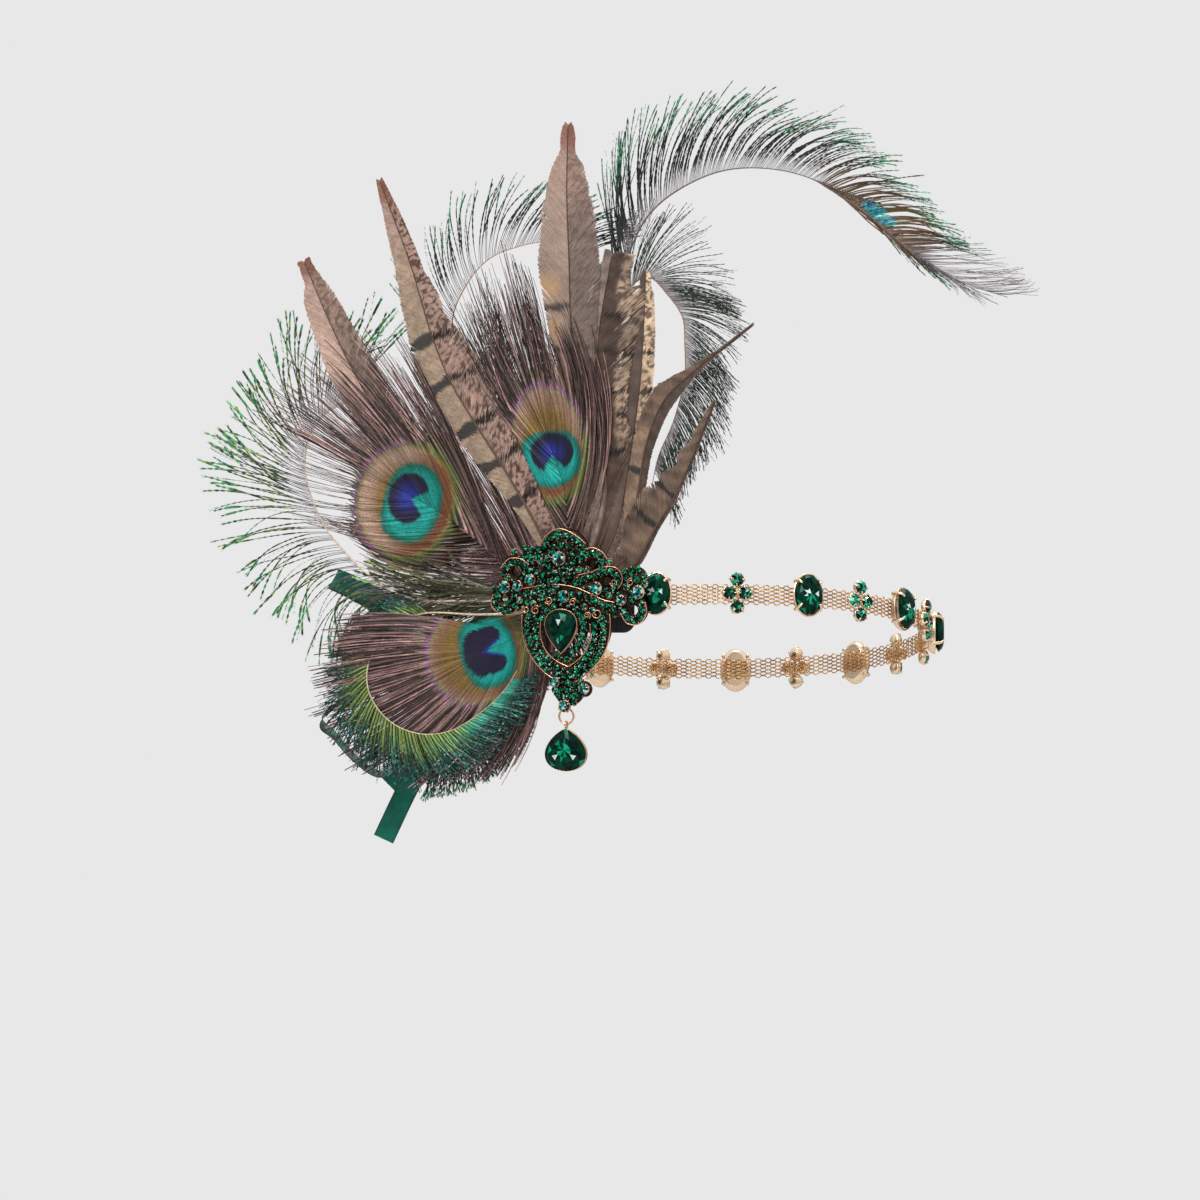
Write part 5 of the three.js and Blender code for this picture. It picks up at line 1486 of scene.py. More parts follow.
def add_herl_barbs(piece, look, spine, side, rows, rng):
    first, last = rows[0][0], rows[-1][0]
    count = int((last - first) * spine.length / look["spacing"])
    roots = np.linspace(first, last, count)
    if look["sparse"]:
        begin, end, kept = look["sparse"]
        thinned = (roots > begin) & (roots < end)
        roots = roots[~thinned | (rng.random(count) < kept)]
        count = len(roots)
    angles, lengths, bends = read_table(rows, roots)
    inner, lock = clumped(count, rng, *look["lock"])
    lock_turn = rng.normal(0, 2.2, lock.max() + 1)[lock]
    lock_length = rng.uniform(0.86, 1.06, lock.max() + 1)[lock]
    angles = angles + look["tidy"] * (lock_turn + 1.8 * inner + rng.normal(0, 0.9, count))
    lengths = lengths * lock_length * rng.uniform(0.86, 1.02, count)
    bends = bends + rng.normal(0, look["curl"], count)
    paths = barb_paths(spine, roots, side, angles, lengths, bends, HERL_SHARES)
    paths = wander_paths(paths, rng, 1.2, 0.5)
    share = HERL_SHARES[None, :]
    pitch = rng.uniform(2.4, 3.6, (count, 1))
    dash = np.sin(2 * math.pi * share * lengths[:, None] / pitch + 6.3 * rng.random((count, 1))) > -0.45
    grown = smoothstep(look["bare"] - 0.1, look["bare"] + 0.15, share) * np.ones((count, 1))
    if look["faded"]:
        grown *= smoothstep(look["faded"] + 0.02, look["faded"] - 0.02, roots)[:, None]
    plump = look["plump"] * smoothstep(0.7, 0.82, share)
    bare_half = 0.1 + 0.05 * grown.max(axis=1, keepdims=True)
    half = (bare_half + (0.22 + plump) * dash * grown * (1.15 - 0.5 * share)) * look["fine"]
    if look["eye"]:
        half = np.maximum(half, 0.3 * herl_eye(look, paths)[0])
    tints = herl_colours(look, roots, paths, rng)
    twist = rng.normal(0, 0.5, (count, 1)) + 0.9 * share * rng.normal(0, 1, (count, 1))
    add_strips(piece, paths, half, tints, twist)
    tuft = look["fuzz"] * (0.9 + look["tuft"] * smoothstep(0.65, 0.85, share))
    add_barbules(piece, paths, tuft * dash * grown * (1.1 - 0.45 * share), tints, rng, HERL_LEAN)


def add_herl(piece, look, rng):
    spine = feather_spine(look["foot"], PLUME_FOOT_DEPTH, look["spine"])
    add_herl_barbs(piece, look, spine, look["side"], look["barbs"], rng)
    if look["inner"]:
        add_herl_barbs(piece, look, spine, -look["side"], look["inner"], rng)
    add_rachis(piece, spine, 0.995, (QUILL_RADIUS, 0.16), look["quill"], taper=look["taper"])


build_feathers(HERLS, PLAIN_HERL, add_herl, HERL_SEED, "barbs", HERL, "peacock_herl")


# Brooch

BROOCH_SEED = SEED + 60
# Where the larger round stones and the dark plate come in the brooch's materials
TEAL_SLOT = 2
PLATE_SLOT = 3
PLATE_FRONT = 4.0
PLATE_BACK = 1.5
POST_RADIUS = 3.0
POST_SIDES = 24
POST_HEIGHT = -1.0
PLATE_SIDES = 36
PLATE_EDGE = 0.5
PEAR_CENTRE = (-2.3, -18.4)
PEAR_WIDTH = 15.0
PEAR_HEIGHT = 19.4
PEAR_DEPTH = 4.2
PEAR_RIM = 0.4
# The open frame round the pear: width, edge, middle, foot, top, half its breadth and where it is broadest
FRAME_WIDTH = 7.5
FRAME_EDGE = 0.4
FRAME_MIDDLE = 1
FRAME_FOOT = -42
FRAME_TOP = -2
FRAME_HALF = 21
FRAME_WIDEST = -15
BEZIER_STEPS = 24
TEARDROP_SWELL = 1.28
TEARDROP_SIDES = 14
SETTING_SIDES = 48
RING_RIGHT = -0.7
RING_FRONT = 2.2
RING_STEPS = 28
RING_SIDES = 10
EYE_HEIGHT = -52.4
EYE_RADIUS = 1.5
EYE_WIRE = 0.4

# Scrolls of the plate: right, up, radius and open middle
SCROLLS = (
    (-1, 16, 11.5, 0), (-13, 10, 7.5, 2), (-23.5, 8.5, 7.5, 2.4), (11.5, 11, 8, 2.2), (19, 3.5, 7, 2.2),
    (32, 4.5, 6, 0), (31.5, -9, 6.5, 2.2), (-29.5, -3.5, 6.5, 1.8), (-19, -1, 8, 0), (4, -2, 12, 0),
    (23, -6, 6, 0), (1, -44.5, 7, 0), (8, -44, 3.6, 0),
)
# Round stones in claws: right, up and radius
CHATONS = (
    (-3.1, 14.0, 3.3), (-29.0, 1.3, 2.8), (-22.6, 1.8, 2.5), (-16.7, 4.5, 2.6), (14.2, 0.6, 3.2),
    (34.2, -1.0, 3.1), (-0.8, -2.9, 2.8), (26.4, -4.6, 2.5), (-0.4, -51.6, 2.8), (-5.0, -41.0, 2.3),
    (8.9, -44.0, 2.3),
)
# Small stones in rows along a line: right and up of points on it
STONE_ROWS = (
    (
        (-10.2, 19.6), (-8.4, 22.5), (-5.4, 24.7), (-1.9, 25.1), (1.5, 23.7), (4.9, 21.9), (7.6, 19.6),
        (8.1, 16.4),
    ),
    ((-7.4, 17.0), (-5.4, 19.2), (-2.3, 19.9), (0.8, 19.0), (2.8, 16.1), (3.1, 12.2), (1.8, 9.3)),
    ((-7.8, 10.3), (-5.4, 8.0), (-1.6, 7.1), (1.8, 5.8)),
    ((-19.4, 18.3), (-16.0, 18.0), (-12.6, 17.9)),
    ((-19.4, 14.8), (-14.3, 14.7), (-10.8, 12.2)),
    ((-28.6, 9.4), (-25.2, 12.2), (-21.8, 11.9), (-18.4, 9.6), (-14.9, 8.4), (-11.0, 6.6)),
    ((-18.7, -1.9), (-15.3, -1.0), (-11.5, 0.3), (-8.0, 3.6), (-4.4, 4.4)),
    ((-12.0, -3.6), (-7.6, -0.8), (-4.2, 0.6)),
    ((-32.4, -2.6), (-33.2, -6.4), (-30.6, -9.2), (-26.6, -9.4), (-24.2, -6.8)),
    ((7.3, 12.9), (10.7, 16.4), (14.6, 15.6), (17.4, 12.6), (16.8, 8.8)),
    ((4.6, 3.2), (8.3, 4.8), (11.7, 5.8), (15.2, 6.9), (19.1, 8.3), (23.0, 7.4), (24.6, 3.6), (22.4, 0.2)),
    ((3.2, -1.6), (6.2, -2.2), (9.4, -3.4), (12.8, -4.6), (16.9, -6.4), (20.3, -7.1), (23.0, -8.6)),
    ((34.0, 9.2), (31.2, 7.2), (33.4, 4.4)),
    ((35.2, -6.0), (36.0, -9.6), (33.8, -13.0), (29.8, -13.0), (27.4, -9.8)),
    ((4.4, -8.2), (7.4, -12.1), (8.6, -16.4), (8.0, -20.4), (6.2, -24.0), (3.2, -27.2)),
    ((-5.4, -7.2), (-8.8, -9.4), (-11.2, -12.4)),
    ((13.1, -16.0), (13.6, -20.3), (12.9, -23.8), (11.5, -27.0), (9.6, -29.9), (7.2, -32.8), (4.4, -35.3)),
    ((17.0, -12.6), (17.6, -16.6), (17.4, -21.0), (16.6, -25.2), (14.8, -29.0), (12.4, -32.2), (9.4, -35.2)),
    (
        (-17.6, -12.0), (-18.4, -16.1), (-17.9, -20.3), (-16.6, -24.6), (-14.6, -28.6), (-12.0, -32.2),
        (-9.0, -35.0),
    ),
    (
        (-13.9, -14.0), (-14.4, -18.0), (-13.9, -21.6), (-12.6, -25.4), (-10.6, -28.8), (-7.8, -32.0),
        (-4.4, -34.8),
    ),
    ((6.2, -37.4), (1.0, -38.4), (-4.2, -37.2)),
    ((-5.2, -44.4), (-3.0, -47.2), (1.0, -47.6), (5.0, -47.0), (7.0, -43.6)),
    ((1.0, -41.4), (1.0, -44.6)),
)
# Loose small stones between the rows
STONE_SPOTS = (
    (-24.4, 17.0), (-8.6, 14.0), (6.0, 9.0), (9.6, 9.0), (-27.6, 5.6), (20.4, 12.6), (28.6, 1.4),
    (-22.0, -4.6), (7.0, -40.6), (20.4, -2.6), (-15.6, -6.0), (8.6, -7.6), (12.4, -9.2), (12.0, 1.0),
    (37.0, 2.6),
)
STONE_RADIUS = 1.62
STONE_RISE = 1.2
STONE_PITCH = 2.04 * STONE_RADIUS
SPOT_DEPTH = 1.8
CHATON_DEPTH = 3.6
BEAD_RADIUS = 0.3
BEAD_SIDES = 7
COLLAR_SIDES = 10
CHANNEL_RISE = 0.75
CHANNEL_HALF = STONE_RADIUS + 0.05
# Across the channel of a row: off its line, and in front of the plate
CHANNEL_ROWS = (
    (-CHANNEL_HALF, -0.4), (-CHANNEL_HALF + 0.2, CHANNEL_RISE), (CHANNEL_HALF - 0.2, CHANNEL_RISE),
    (CHANNEL_HALF, -0.4),
)
# Stones that fill the plate between the rows, largest first
FILL_RADII = (1.6, 1.3, 1.0, 0.8)
FILL_TRIES = 625
FILL_EDGE = 0.5
FILL_HOLE_EDGE = 1.2
FRAME_FILL_EDGE = 0.8
FRAME_FILL_LINES = 9
# The pear's outlines that no stone may touch, as shares of its own, and how far off they keep stones
PEAR_SHARES = (1.0, 0.7, 0.35)
PEAR_CLEAR = 0.7
# Gilt edge wires: right and up of points along each
EDGE_WIRES = (
    ((20.6, -10.6), (20.8, -16.4), (19.8, -23.2), (17.0, -29.6), (11.0, -36.2), (4.2, -41.0)),
    ((-20.8, -11.0), (-20.9, -16.4), (-19.6, -23.2), (-16.0, -30.4), (-10.0, -36.8), (-3.2, -41.0)),
    ((-12.0, -13.5), (-12.2, -19.6), (-10.4, -25.6), (-7.0, -29.8), (-3.4, -32.2), (1.0, -34.2)),
    ((11.3, -15.0), (11.4, -20.4), (10.0, -25.4), (7.0, -29.8), (3.8, -32.4), (1.0, -34.2)),
    ((8.6, 18.2), (13.0, 18.6), (17.6, 16.2), (19.6, 12.0), (18.6, 8.2)),
    ((5.6, 6.6), (12.0, 8.0), (18.6, 10.4), (24.4, 9.2), (26.6, 4.6), (24.6, 0.6)),
    ((-11.9, 20.0), (-9.9, 23.4), (-6.2, 26.4), (-1.8, 27.0), (2.4, 25.4), (6.0, 23.2), (9.2, 20.4)),
    ((-31.0, 9.8), (-27.0, 13.8), (-21.6, 13.8), (-17.4, 11.2)),
    ((-34.6, -2.0), (-35.4, -6.8), (-31.6, -10.2), (-26.0, -10.8), (-22.6, -7.6)),
    ((37.2, -5.4), (37.8, -10.4), (34.6, -14.9), (29.0, -14.9), (25.6, -10.4)),
    (
        (-20.6, 0.6), (-14.6, 1.6), (-9.4, 2.4), (-3.6, 2.4), (4.0, 1.2), (10.4, -1.2), (17.6, -4.4),
        (23.0, -5.6),
    ),
)
EDGE_RADIUS = 0.3
EDGE_RISE = 0.55
# Gilt curls: right and up of the middle, radius and where the curl starts, in degrees
CURLS = (
    (-14.4, -9.0, 2.2, 40), (-8.2, -4.6, 1.9, 200), (3.2, -5.4, 1.8, 20), (14.6, -10.4, 2.6, 120),
    (10.0, -11.2, 1.6, 300), (-12.2, 13.0, 1.7, 90), (22.6, 3.2, 1.9, 180), (-19.0, -8.6, 1.8, 120),
    (30.4, 3.4, 1.8, 60),
)
CURL_TURNS = 1.4
CURL_STEPS = 26


def brooch_place(points):
    """Right, front and up on the brooch, as places in the frame."""
    points = np.asarray(points, float)
    return spray_place(np.stack([points[..., 0], -points[..., 1], points[..., 2]], -1))


def flat_spine(points):
    """A smooth line through right and up points."""
    return Spine([[right, 0.0, up] for right, up in points])


def add_plate_scroll(piece, right, up, radius, hole):
    profile = [(hole, PLATE_BACK), (radius - PLATE_EDGE, PLATE_BACK), (radius, PLATE_BACK + PLATE_EDGE)]
    profile += [(radius, PLATE_FRONT - PLATE_EDGE), (radius - PLATE_EDGE, PLATE_FRONT), (hole, PLATE_FRONT)]
    profile += [(hole, PLATE_BACK)] if hole else []
    add_lathe(piece, profile, PLATE_SIDES, shifted(brooch_place, right, 0.0, up), PLATE_SLOT)


def bezier(*corners):
    """A curve from the first of four corners towards the last, which it leaves out."""
    share = np.linspace(0, 1, BEZIER_STEPS, endpoint=False)[:, None]
    start, first, second, end = np.array(corners, float)
    near, far = 1 - share, share
    return near**3 * start + 3 * far * near**2 * first + 3 * far**2 * near * second + far**3 * end


def pear_frame_ring(inset, front):
    """The outline of the open frame round the main stone, inset from its outer edge."""
    foot, top = (FRAME_MIDDLE, FRAME_FOOT + inset * 1.6), (FRAME_MIDDLE, FRAME_TOP - inset)
    low, high = FRAME_FOOT + 6 + inset, FRAME_TOP - inset
    right, left = (FRAME_HALF - inset, FRAME_WIDEST), (inset - FRAME_HALF, FRAME_WIDEST)
    sides = [
        bezier(foot, (9, low), (right[0], -28), right),
        bezier(right, (right[0], -7), (15, high), top),
        bezier(top, (-14, high), (left[0], -7), left),
        bezier(left, (left[0], -28), (-7, low), foot),
    ]
    line = np.concatenate(sides)
    return np.stack([line[:, 0], np.full(len(line), front), line[:, 1]], -1)


def add_pear_frame_plate(piece):
    back, front = PLATE_BACK + FRAME_EDGE, PLATE_FRONT - FRAME_EDGE
    rows = [(FRAME_EDGE, PLATE_BACK), (0.0, back), (0.0, front), (FRAME_EDGE, PLATE_FRONT)]
    rows += [(FRAME_WIDTH - FRAME_EDGE, PLATE_FRONT), (FRAME_WIDTH, back)]
    rows += [(FRAME_WIDTH - FRAME_EDGE, PLATE_BACK), (FRAME_EDGE, PLATE_BACK)]
    rings = [brooch_place(pear_frame_ring(inset, reach)) for inset, reach in rows]
    add_loft(piece, rings, PLATE_SLOT, caps=False)


def add_bead(piece, place):
    """A small round grain of metal."""
    tilt = np.linspace(0.1, math.pi * 0.72, 5)
    profile = np.stack([BEAD_RADIUS * np.sin(tilt), BEAD_RADIUS * np.cos(tilt)], -1)[::-1]
    add_lathe(piece, profile, BEAD_SIDES, place)


def row_places(points):
    """Evenly spaced stones along a row."""
    line = flat_spine(points)
    count = max(2, round(line.length / STONE_PITCH) + 1)
    return line, np.linspace(0, 1, count)


def add_stone_row(piece, points, rng):
    """A dark channel along a line with a row of small stones, and gilt grains that hold them on each side."""
    line, share = row_places(points)
    path = line.at(np.linspace(0, 1, 8 * len(points)))
    across = across_paths(path[None])[0]
    rings = []
    for off, rise in CHANNEL_ROWS:
        ring = path + off * across
        ring[:, 1] = PLATE_FRONT + rise
        rings.append(brooch_place(ring))
    piece.add(np.stack(rings, 1), grid_faces(len(path), len(rings)), slot=PLATE_SLOT)
    front = PLATE_FRONT + CHANNEL_RISE
    for right, _, up in line.at(share):
        place = shifted(brooch_place, right, front, up)
        add_cut_stone(piece, place, STONE_RADIUS, STONE_RISE, STONE_SLOT, EMERALD_PAINTED_FACETS, rng)
    beside = across_paths(line.at(np.linspace(0, 1, len(share) * 2 - 1))[None])[0]
    between = line.at((share[1:] + share[:-1]) / 2)
    for (right, _, up), off in zip(between, beside[1::2]):
        for side in (LEFT, RIGHT):
            reach = side * (STONE_RADIUS - 0.1)
            add_bead(piece, shifted(brooch_place, right + reach * off[0], front + 0.3, up + reach * off[2]))


def add_collared_stone(piece, place, radius, rng):
    """A small stone in a fine gilt collar."""
    collar = [(radius * 0.98, 0.0), (radius * 1.04, 0.55), (radius * 0.94, 0.66)]
    add_lathe(piece, collar, COLLAR_SIDES, place)
    seat = shifted(place, 0.0, 0.4, 0.0)
    add_cut_stone(piece, seat, radius, STONE_RISE, STONE_SLOT, EMERALD_PAINTED_FACETS, rng)


def fill_candidates(rng):
    """Places scattered over the plate's scrolls and the open frame."""
    places = []
    for right, up, radius, hole in SCROLLS:
        angle = rng.uniform(0, 2 * math.pi, FILL_TRIES)
        inner = hole + FILL_HOLE_EDGE if hole else 0.0
        reach = np.sqrt(rng.uniform(inner**2, (radius - FILL_EDGE) ** 2, FILL_TRIES))
        places.append(np.stack([right + reach * np.cos(angle), up + reach * np.sin(angle)], -1))
    for inset in np.linspace(FRAME_FILL_EDGE, FRAME_WIDTH - FRAME_FILL_EDGE, FRAME_FILL_LINES):
        places.append(pear_frame_ring(inset, 0.0)[:, [0, 2]])
    places = np.concatenate(places)
    return places[rng.permutation(len(places))]


def fill_stones(rng):
    """Stones of falling size that fill what rows, chatons, wires, curls and the pear leave of the plate."""
    taken = list(CHATONS)
    taken += [(right, up, STONE_RADIUS) for right, up in STONE_SPOTS]
    taken += [(right, up, radius * 0.7) for right, up, radius, _ in CURLS]
    taken += [(right, up, hole) for right, up, _, hole in SCROLLS if hole]
    for row in STONE_ROWS:
        line, share = row_places(row)
        taken += [(right, up, STONE_RADIUS) for right, _, up in line.at(share)]
    for wire in EDGE_WIRES:
        points = flat_spine(wire).at(np.linspace(0, 1, 12 * len(wire)))
        taken += [(right, up, EDGE_RADIUS) for right, _, up in points]
    outline = np.stack(pear_outline(np.linspace(0, 2 * math.pi, 60)), -1)
    for share in PEAR_SHARES:
        taken += [(right, up, PEAR_CLEAR) for right, up in PEAR_CENTRE + share * outline]
    taken = np.array(taken)
    candidates = fill_candidates(rng)
    made = []
    for radius in FILL_RADII:
        for right, up in candidates:
            if np.all(np.hypot(taken[:, 0] - right, taken[:, 1] - up) > taken[:, 2] + radius):
                made.append((right, up, radius))
                taken = np.vstack([taken, made[-1]])
    return made


def add_curl(piece, right, up, radius, degrees):
    share = np.linspace(0, 1, CURL_STEPS)
    angle = math.radians(degrees) + 2 * math.pi * CURL_TURNS * share
    reach = radius * (1 - 0.72 * share)
    front = PLATE_FRONT + 0.5 + 0.5 * share
    path = np.stack([right + reach * np.cos(angle), front, up + reach * np.sin(angle)], -1)
    add_tube(piece, brooch_place(path), EDGE_RADIUS * (1.1 - 0.4 * share))


def teardrop_outline(width, height, sharpness, point_up):
    """A teardrop about its middle, which starts at its point and runs to the left of a raised one."""
    flip = 1 if point_up else -1

    def outline(angle):
        across = TEARDROP_SWELL * np.sin(angle) * np.abs(np.sin(angle / 2)) ** sharpness
        return -flip * width / 2 * across, flip * height / 2 * np.cos(angle)

    return outline


# Shares of the outline, shares of the depth and half turns, from the culet to the table
PEAR_CUT = ((0.3, -0.5, 0.0), (1.0, 0.26, 0.5), (0.84, 0.7, 0.0), (0.56, 1.0, 0.5), (0.26, 1.0, 0.0))
DROP_CUT = ((0.3, -0.5, 0.0), (1.0, 0.2, 0.5), (0.84, 0.62, 0.0), (0.62, 0.9, 0.5), (0.34, 1.0, 0.0))
# Painted light: height and strength of the painted reflection in the table, and places of its painted glints
PEAR_PAINTED_LIGHTS = ((-0.5, 0.25), ((0.1, -0.62), (0.05, 0.6)))
DROP_PAINTED_LIGHTS = ((0.1, 1.0), ((-0.58, -0.4), (0.58, -0.4), (-0.42, -0.45), (0.42, -0.45)))


def add_setting(piece, outline, seat, depth, back, rim, place):
    """A slim gilt cup that follows a teardrop stone."""
    rows = [(-1.6, back), (-0.3, back + 0.35), (rim * 0.8, (back + seat) / 2), (rim, seat + 0.2)]
    rows += [(rim * 0.7, seat + depth * 0.3), (0.05, seat + depth * 0.26)]
    add_cup(piece, outline, rows, SETTING_SIDES, place)


def add_wire_ring(piece, radius, wire, height, side_on):
    """A ring of wire on the drop's line, which faces the front or is seen edge on."""
    angle = round_angles(RING_STEPS)
    turn = np.stack([np.cos(angle), np.zeros(RING_STEPS), np.sin(angle)], -1) * radius
    path = turn[:, [1, 0, 2]] if side_on else turn
    centre = np.array([RING_RIGHT, RING_FRONT, height])
    add_tube(piece, brooch_place(path + centre), wire, RING_SIDES, closed=True)


rng = np.random.default_rng(BROOCH_SEED)
pear_outline = teardrop_outline(PEAR_WIDTH, PEAR_HEIGHT, 1.0, False)
brooch = Piece()
for scroll in SCROLLS:
    add_plate_scroll(brooch, *scroll)
add_pear_frame_plate(brooch)
post = [(0.0, -FELT_FRONT + GAP), (POST_RADIUS, -FELT_FRONT + GAP), (POST_RADIUS, PLATE_BACK + PLATE_EDGE)]
add_lathe(brooch, post, POST_SIDES, shifted(brooch_place, 0.0, 0.0, POST_HEIGHT), PLATE_SLOT)
for row in STONE_ROWS:
    add_stone_row(brooch, row, rng)
for right, up in STONE_SPOTS:
    spot = shifted(brooch_place, right, PLATE_FRONT - 0.2, up)
    add_chaton(brooch, spot, STONE_RADIUS, SPOT_DEPTH, STONE_SLOT, EMERALD_PAINTED_FACETS, rng)
for right, up, radius in fill_stones(rng):
    add_collared_stone(brooch, shifted(brooch_place, right, PLATE_FRONT - 0.1, up), radius, rng)
for right, up, radius in CHATONS:
    spot = shifted(brooch_place, right, PLATE_FRONT - 0.2, up)
    add_chaton(brooch, spot, radius, CHATON_DEPTH, TEAL_SLOT, TEAL_PAINTED_FACETS, rng)
for wire in EDGE_WIRES:
    path = flat_spine(wire).at(np.linspace(0, 1, 10 * len(wire)))
    path[:, 1] = PLATE_FRONT + EDGE_RISE
    add_tube(brooch, brooch_place(path), EDGE_RADIUS)
for curl in CURLS:
    add_curl(brooch, *curl)
add_wire_ring(brooch, EYE_RADIUS, EYE_WIRE, EYE_HEIGHT, True)
pear = Piece()
pear_place = shifted(brooch_place, PEAR_CENTRE[0], 0.0, PEAR_CENTRE[1])
pear_seat = PLATE_FRONT + GAP
add_setting(brooch, pear_outline, pear_seat, PEAR_DEPTH, PLATE_BACK - 0.2, PEAR_RIM, pear_place)
add_gem(pear, pear_outline, PEAR_CUT, pear_seat, PEAR_DEPTH, TEARDROP_SIDES, PEAR_PAINTED_LIGHTS, pear_place, rng)
brooch_looks = [ROSE_GILT, RHINESTONE, TEAL_STONE, OLD_GILT]
brooch.build("brooch_pave", brooch_looks, replaces=["brooch_frame"], slot="gilt_metal")
pear.build("pear_gem", [EMERALD], replaces=["pear_stone"], slot="emerald_glass")


# Drop

DROP_SEED = SEED + 65
JUMP_RADIUS = 3.4
JUMP_WIRE = 0.45
JUMP_HEIGHT = -56.15
DROP_LOOP_HEIGHT = -59.9
DROP_WIDTH = 17.6
DROP_HEIGHT = 18.6
DROP_CENTRE_HEIGHT = -71.1
DROP_SHARPNESS = 0.55
DROP_BACK = 0.4
DROP_SEAT = 2.7
DROP_DEPTH = 3.1
DROP_RIM = 0.25

ring = Piece()
add_wire_ring(ring, JUMP_RADIUS, JUMP_WIRE, JUMP_HEIGHT, False)
ring.build("jump_ring", [ROSE_GILT], "drop_link", ["drop_jump_ring"], "gilt_metal")

rng = np.random.default_rng(DROP_SEED)
drop_cup = Piece()
drop_gem = Piece()
drop_place = shifted(brooch_place, RING_RIGHT, 0.0, DROP_CENTRE_HEIGHT)
drop_outline = teardrop_outline(DROP_WIDTH, DROP_HEIGHT, DROP_SHARPNESS, True)
add_setting(drop_cup, drop_outline, DROP_SEAT, DROP_DEPTH, DROP_BACK, DROP_RIM, drop_place)
add_gem(drop_gem, drop_outline, DROP_CUT, DROP_SEAT, DROP_DEPTH, TEARDROP_SIDES, DROP_PAINTED_LIGHTS, drop_place, rng)
add_wire_ring(drop_cup, EYE_RADIUS, EYE_WIRE, DROP_LOOP_HEIGHT, True)
drop_cup.build("drop_cup", [ROSE_GILT], "drop", ["drop_setting"], "gilt_metal")
drop_gem.build("drop_gem", [EMERALD], "drop", ["drop_stone"], "emerald_glass")


# Felt backing

FELT_SEED = SEED + 70
FELT_CENTRE = (2.0, -3.5)
FELT_WIDTH = 50.0
FELT_HEIGHT = 31.0
FELT_CORNER = 5.0
FELT_CORNER_STEPS = 24
FELT_THICKNESS = 1.5
FELT_UNEVEN = 0.05
# The pad from its back to its front: inset from its outline, and share of its thickness behind the front
FELT_ROWS = ((0.5, 1.0), (0.0, 0.75), (0.0, 0.25), (0.4, 0.0))


def felt_ring(inset, front, rng):
    """The rounded outline of the pad, its cut edge a little uneven."""
    corner = FELT_CORNER - inset
    right = FELT_WIDTH / 2 - inset - corner
    up = FELT_HEIGHT / 2 - inset - corner
    points = []
    for quarter, (side, rise) in enumerate(((1, 1), (-1, 1), (-1, -1), (1, -1))):
        angle = math.pi / 2 * quarter + np.linspace(0, math.pi / 2, FELT_CORNER_STEPS)
        across = side * right + corner * np.cos(angle)
        points.append(np.stack([across, rise * up + corner * np.sin(angle)], -1))
    line = FELT_CENTRE + np.concatenate(points)
    line += rng.normal(0, FELT_UNEVEN, line.shape)
    return np.stack([line[:, 0], np.full(len(line), front), line[:, 1]], -1)


rng = np.random.default_rng(FELT_SEED)
felt = Piece()
felt_rings = [felt_ring(inset, -FELT_FRONT - FELT_THICKNESS * behind, rng) for inset, behind in FELT_ROWS]
add_loft(felt, brooch_place(felt_rings))
felt.build("felt_pad", [FELT], replaces=["felt_backing"], slot="black_felt")


# Ribbon

RIBBON_WIDTH = 10.0
RIBBON_COLUMNS = 13
RIBBON_STEPS = 120
RIBBON_CURL = 0.35
EDGE_CORD = 0.24
CORD_SIDES = 6
STITCH = 1.15
STITCH_STEPS = 4
THREADS_PER_MM = 2.2
# Paths of the ribbon's runs and the direction of its width. The cut length comes from the path
RIBBONS = {
    "ribbon_near": {
        "path": [
            (-75.4, -61, 17), (-81.9, -58.4, 16), (-93, -50, 12), (-107, -33, 2), (-115, -12, -9),
            (-117, -4.2, -13),
        ],
        "widthways": (0, 0, 1), "held": "stretched", "rests_on": ["felt_pad", "bow_knot_wrap"],
    },
    "ribbon_far": {
        "path": [(-64.7, 63.5, -13.1), (-82, 53, -14), (-102, 32, -14), (-114, 14, -14), (-117, 8, -14)],
        "widthways": (0, 0.2, 1), "held": "stretched", "rests_on": ["mesh_band_far_links", "bow_knot_wrap"],
    },
    "bow_loop_upper": {
        "path": [
            (-121, -0.6, -11), (-142, -8, 8), (-162, -9, 20), (-172, -2, 24), (-162, 6, 19), (-142, 8, 7),
            (-121.2, 4.4, -11.4),
        ],
        "widthways": (0.5, 0, 0.85), "held": "folded", "rests_on": ["bow_knot_wrap"],
    },
    "bow_loop_lower": {
        "path": [
            (-121.2, 0, -17.2), (-145, -6, -25), (-167, -8, -31), (-177, -4, -40), (-171, 2, -47),
            (-162, 4, -57), (-151, 5, -64), (-140, 5, -60), (-130, 4, -44), (-120.9, 2.4, -20),
        ],
        "widthways": (0.12, 1, 0.3), "held": "folded", "rests_on": ["bow_knot_wrap"],
    },
    "ribbon_tail_long": {
        "path": [(-114, 0.6, -21.8), (-119, -8, -36), (-129, -12, -54), (-138, -12, -70), (-149, -12, -93)],
        "widthways": (1, 0.25, 0), "held": "hung", "rests_on": ["bow_knot_wrap"],
    },
    "ribbon_tail_short": {
        "path": [(-114.2, 3.8, -20.9), (-118, 13, -38), (-132, 14, -54), (-147, 13, -69)],
        "widthways": (1, 0.3, 0), "held": "hung", "rests_on": ["bow_knot_wrap"],
    },
}


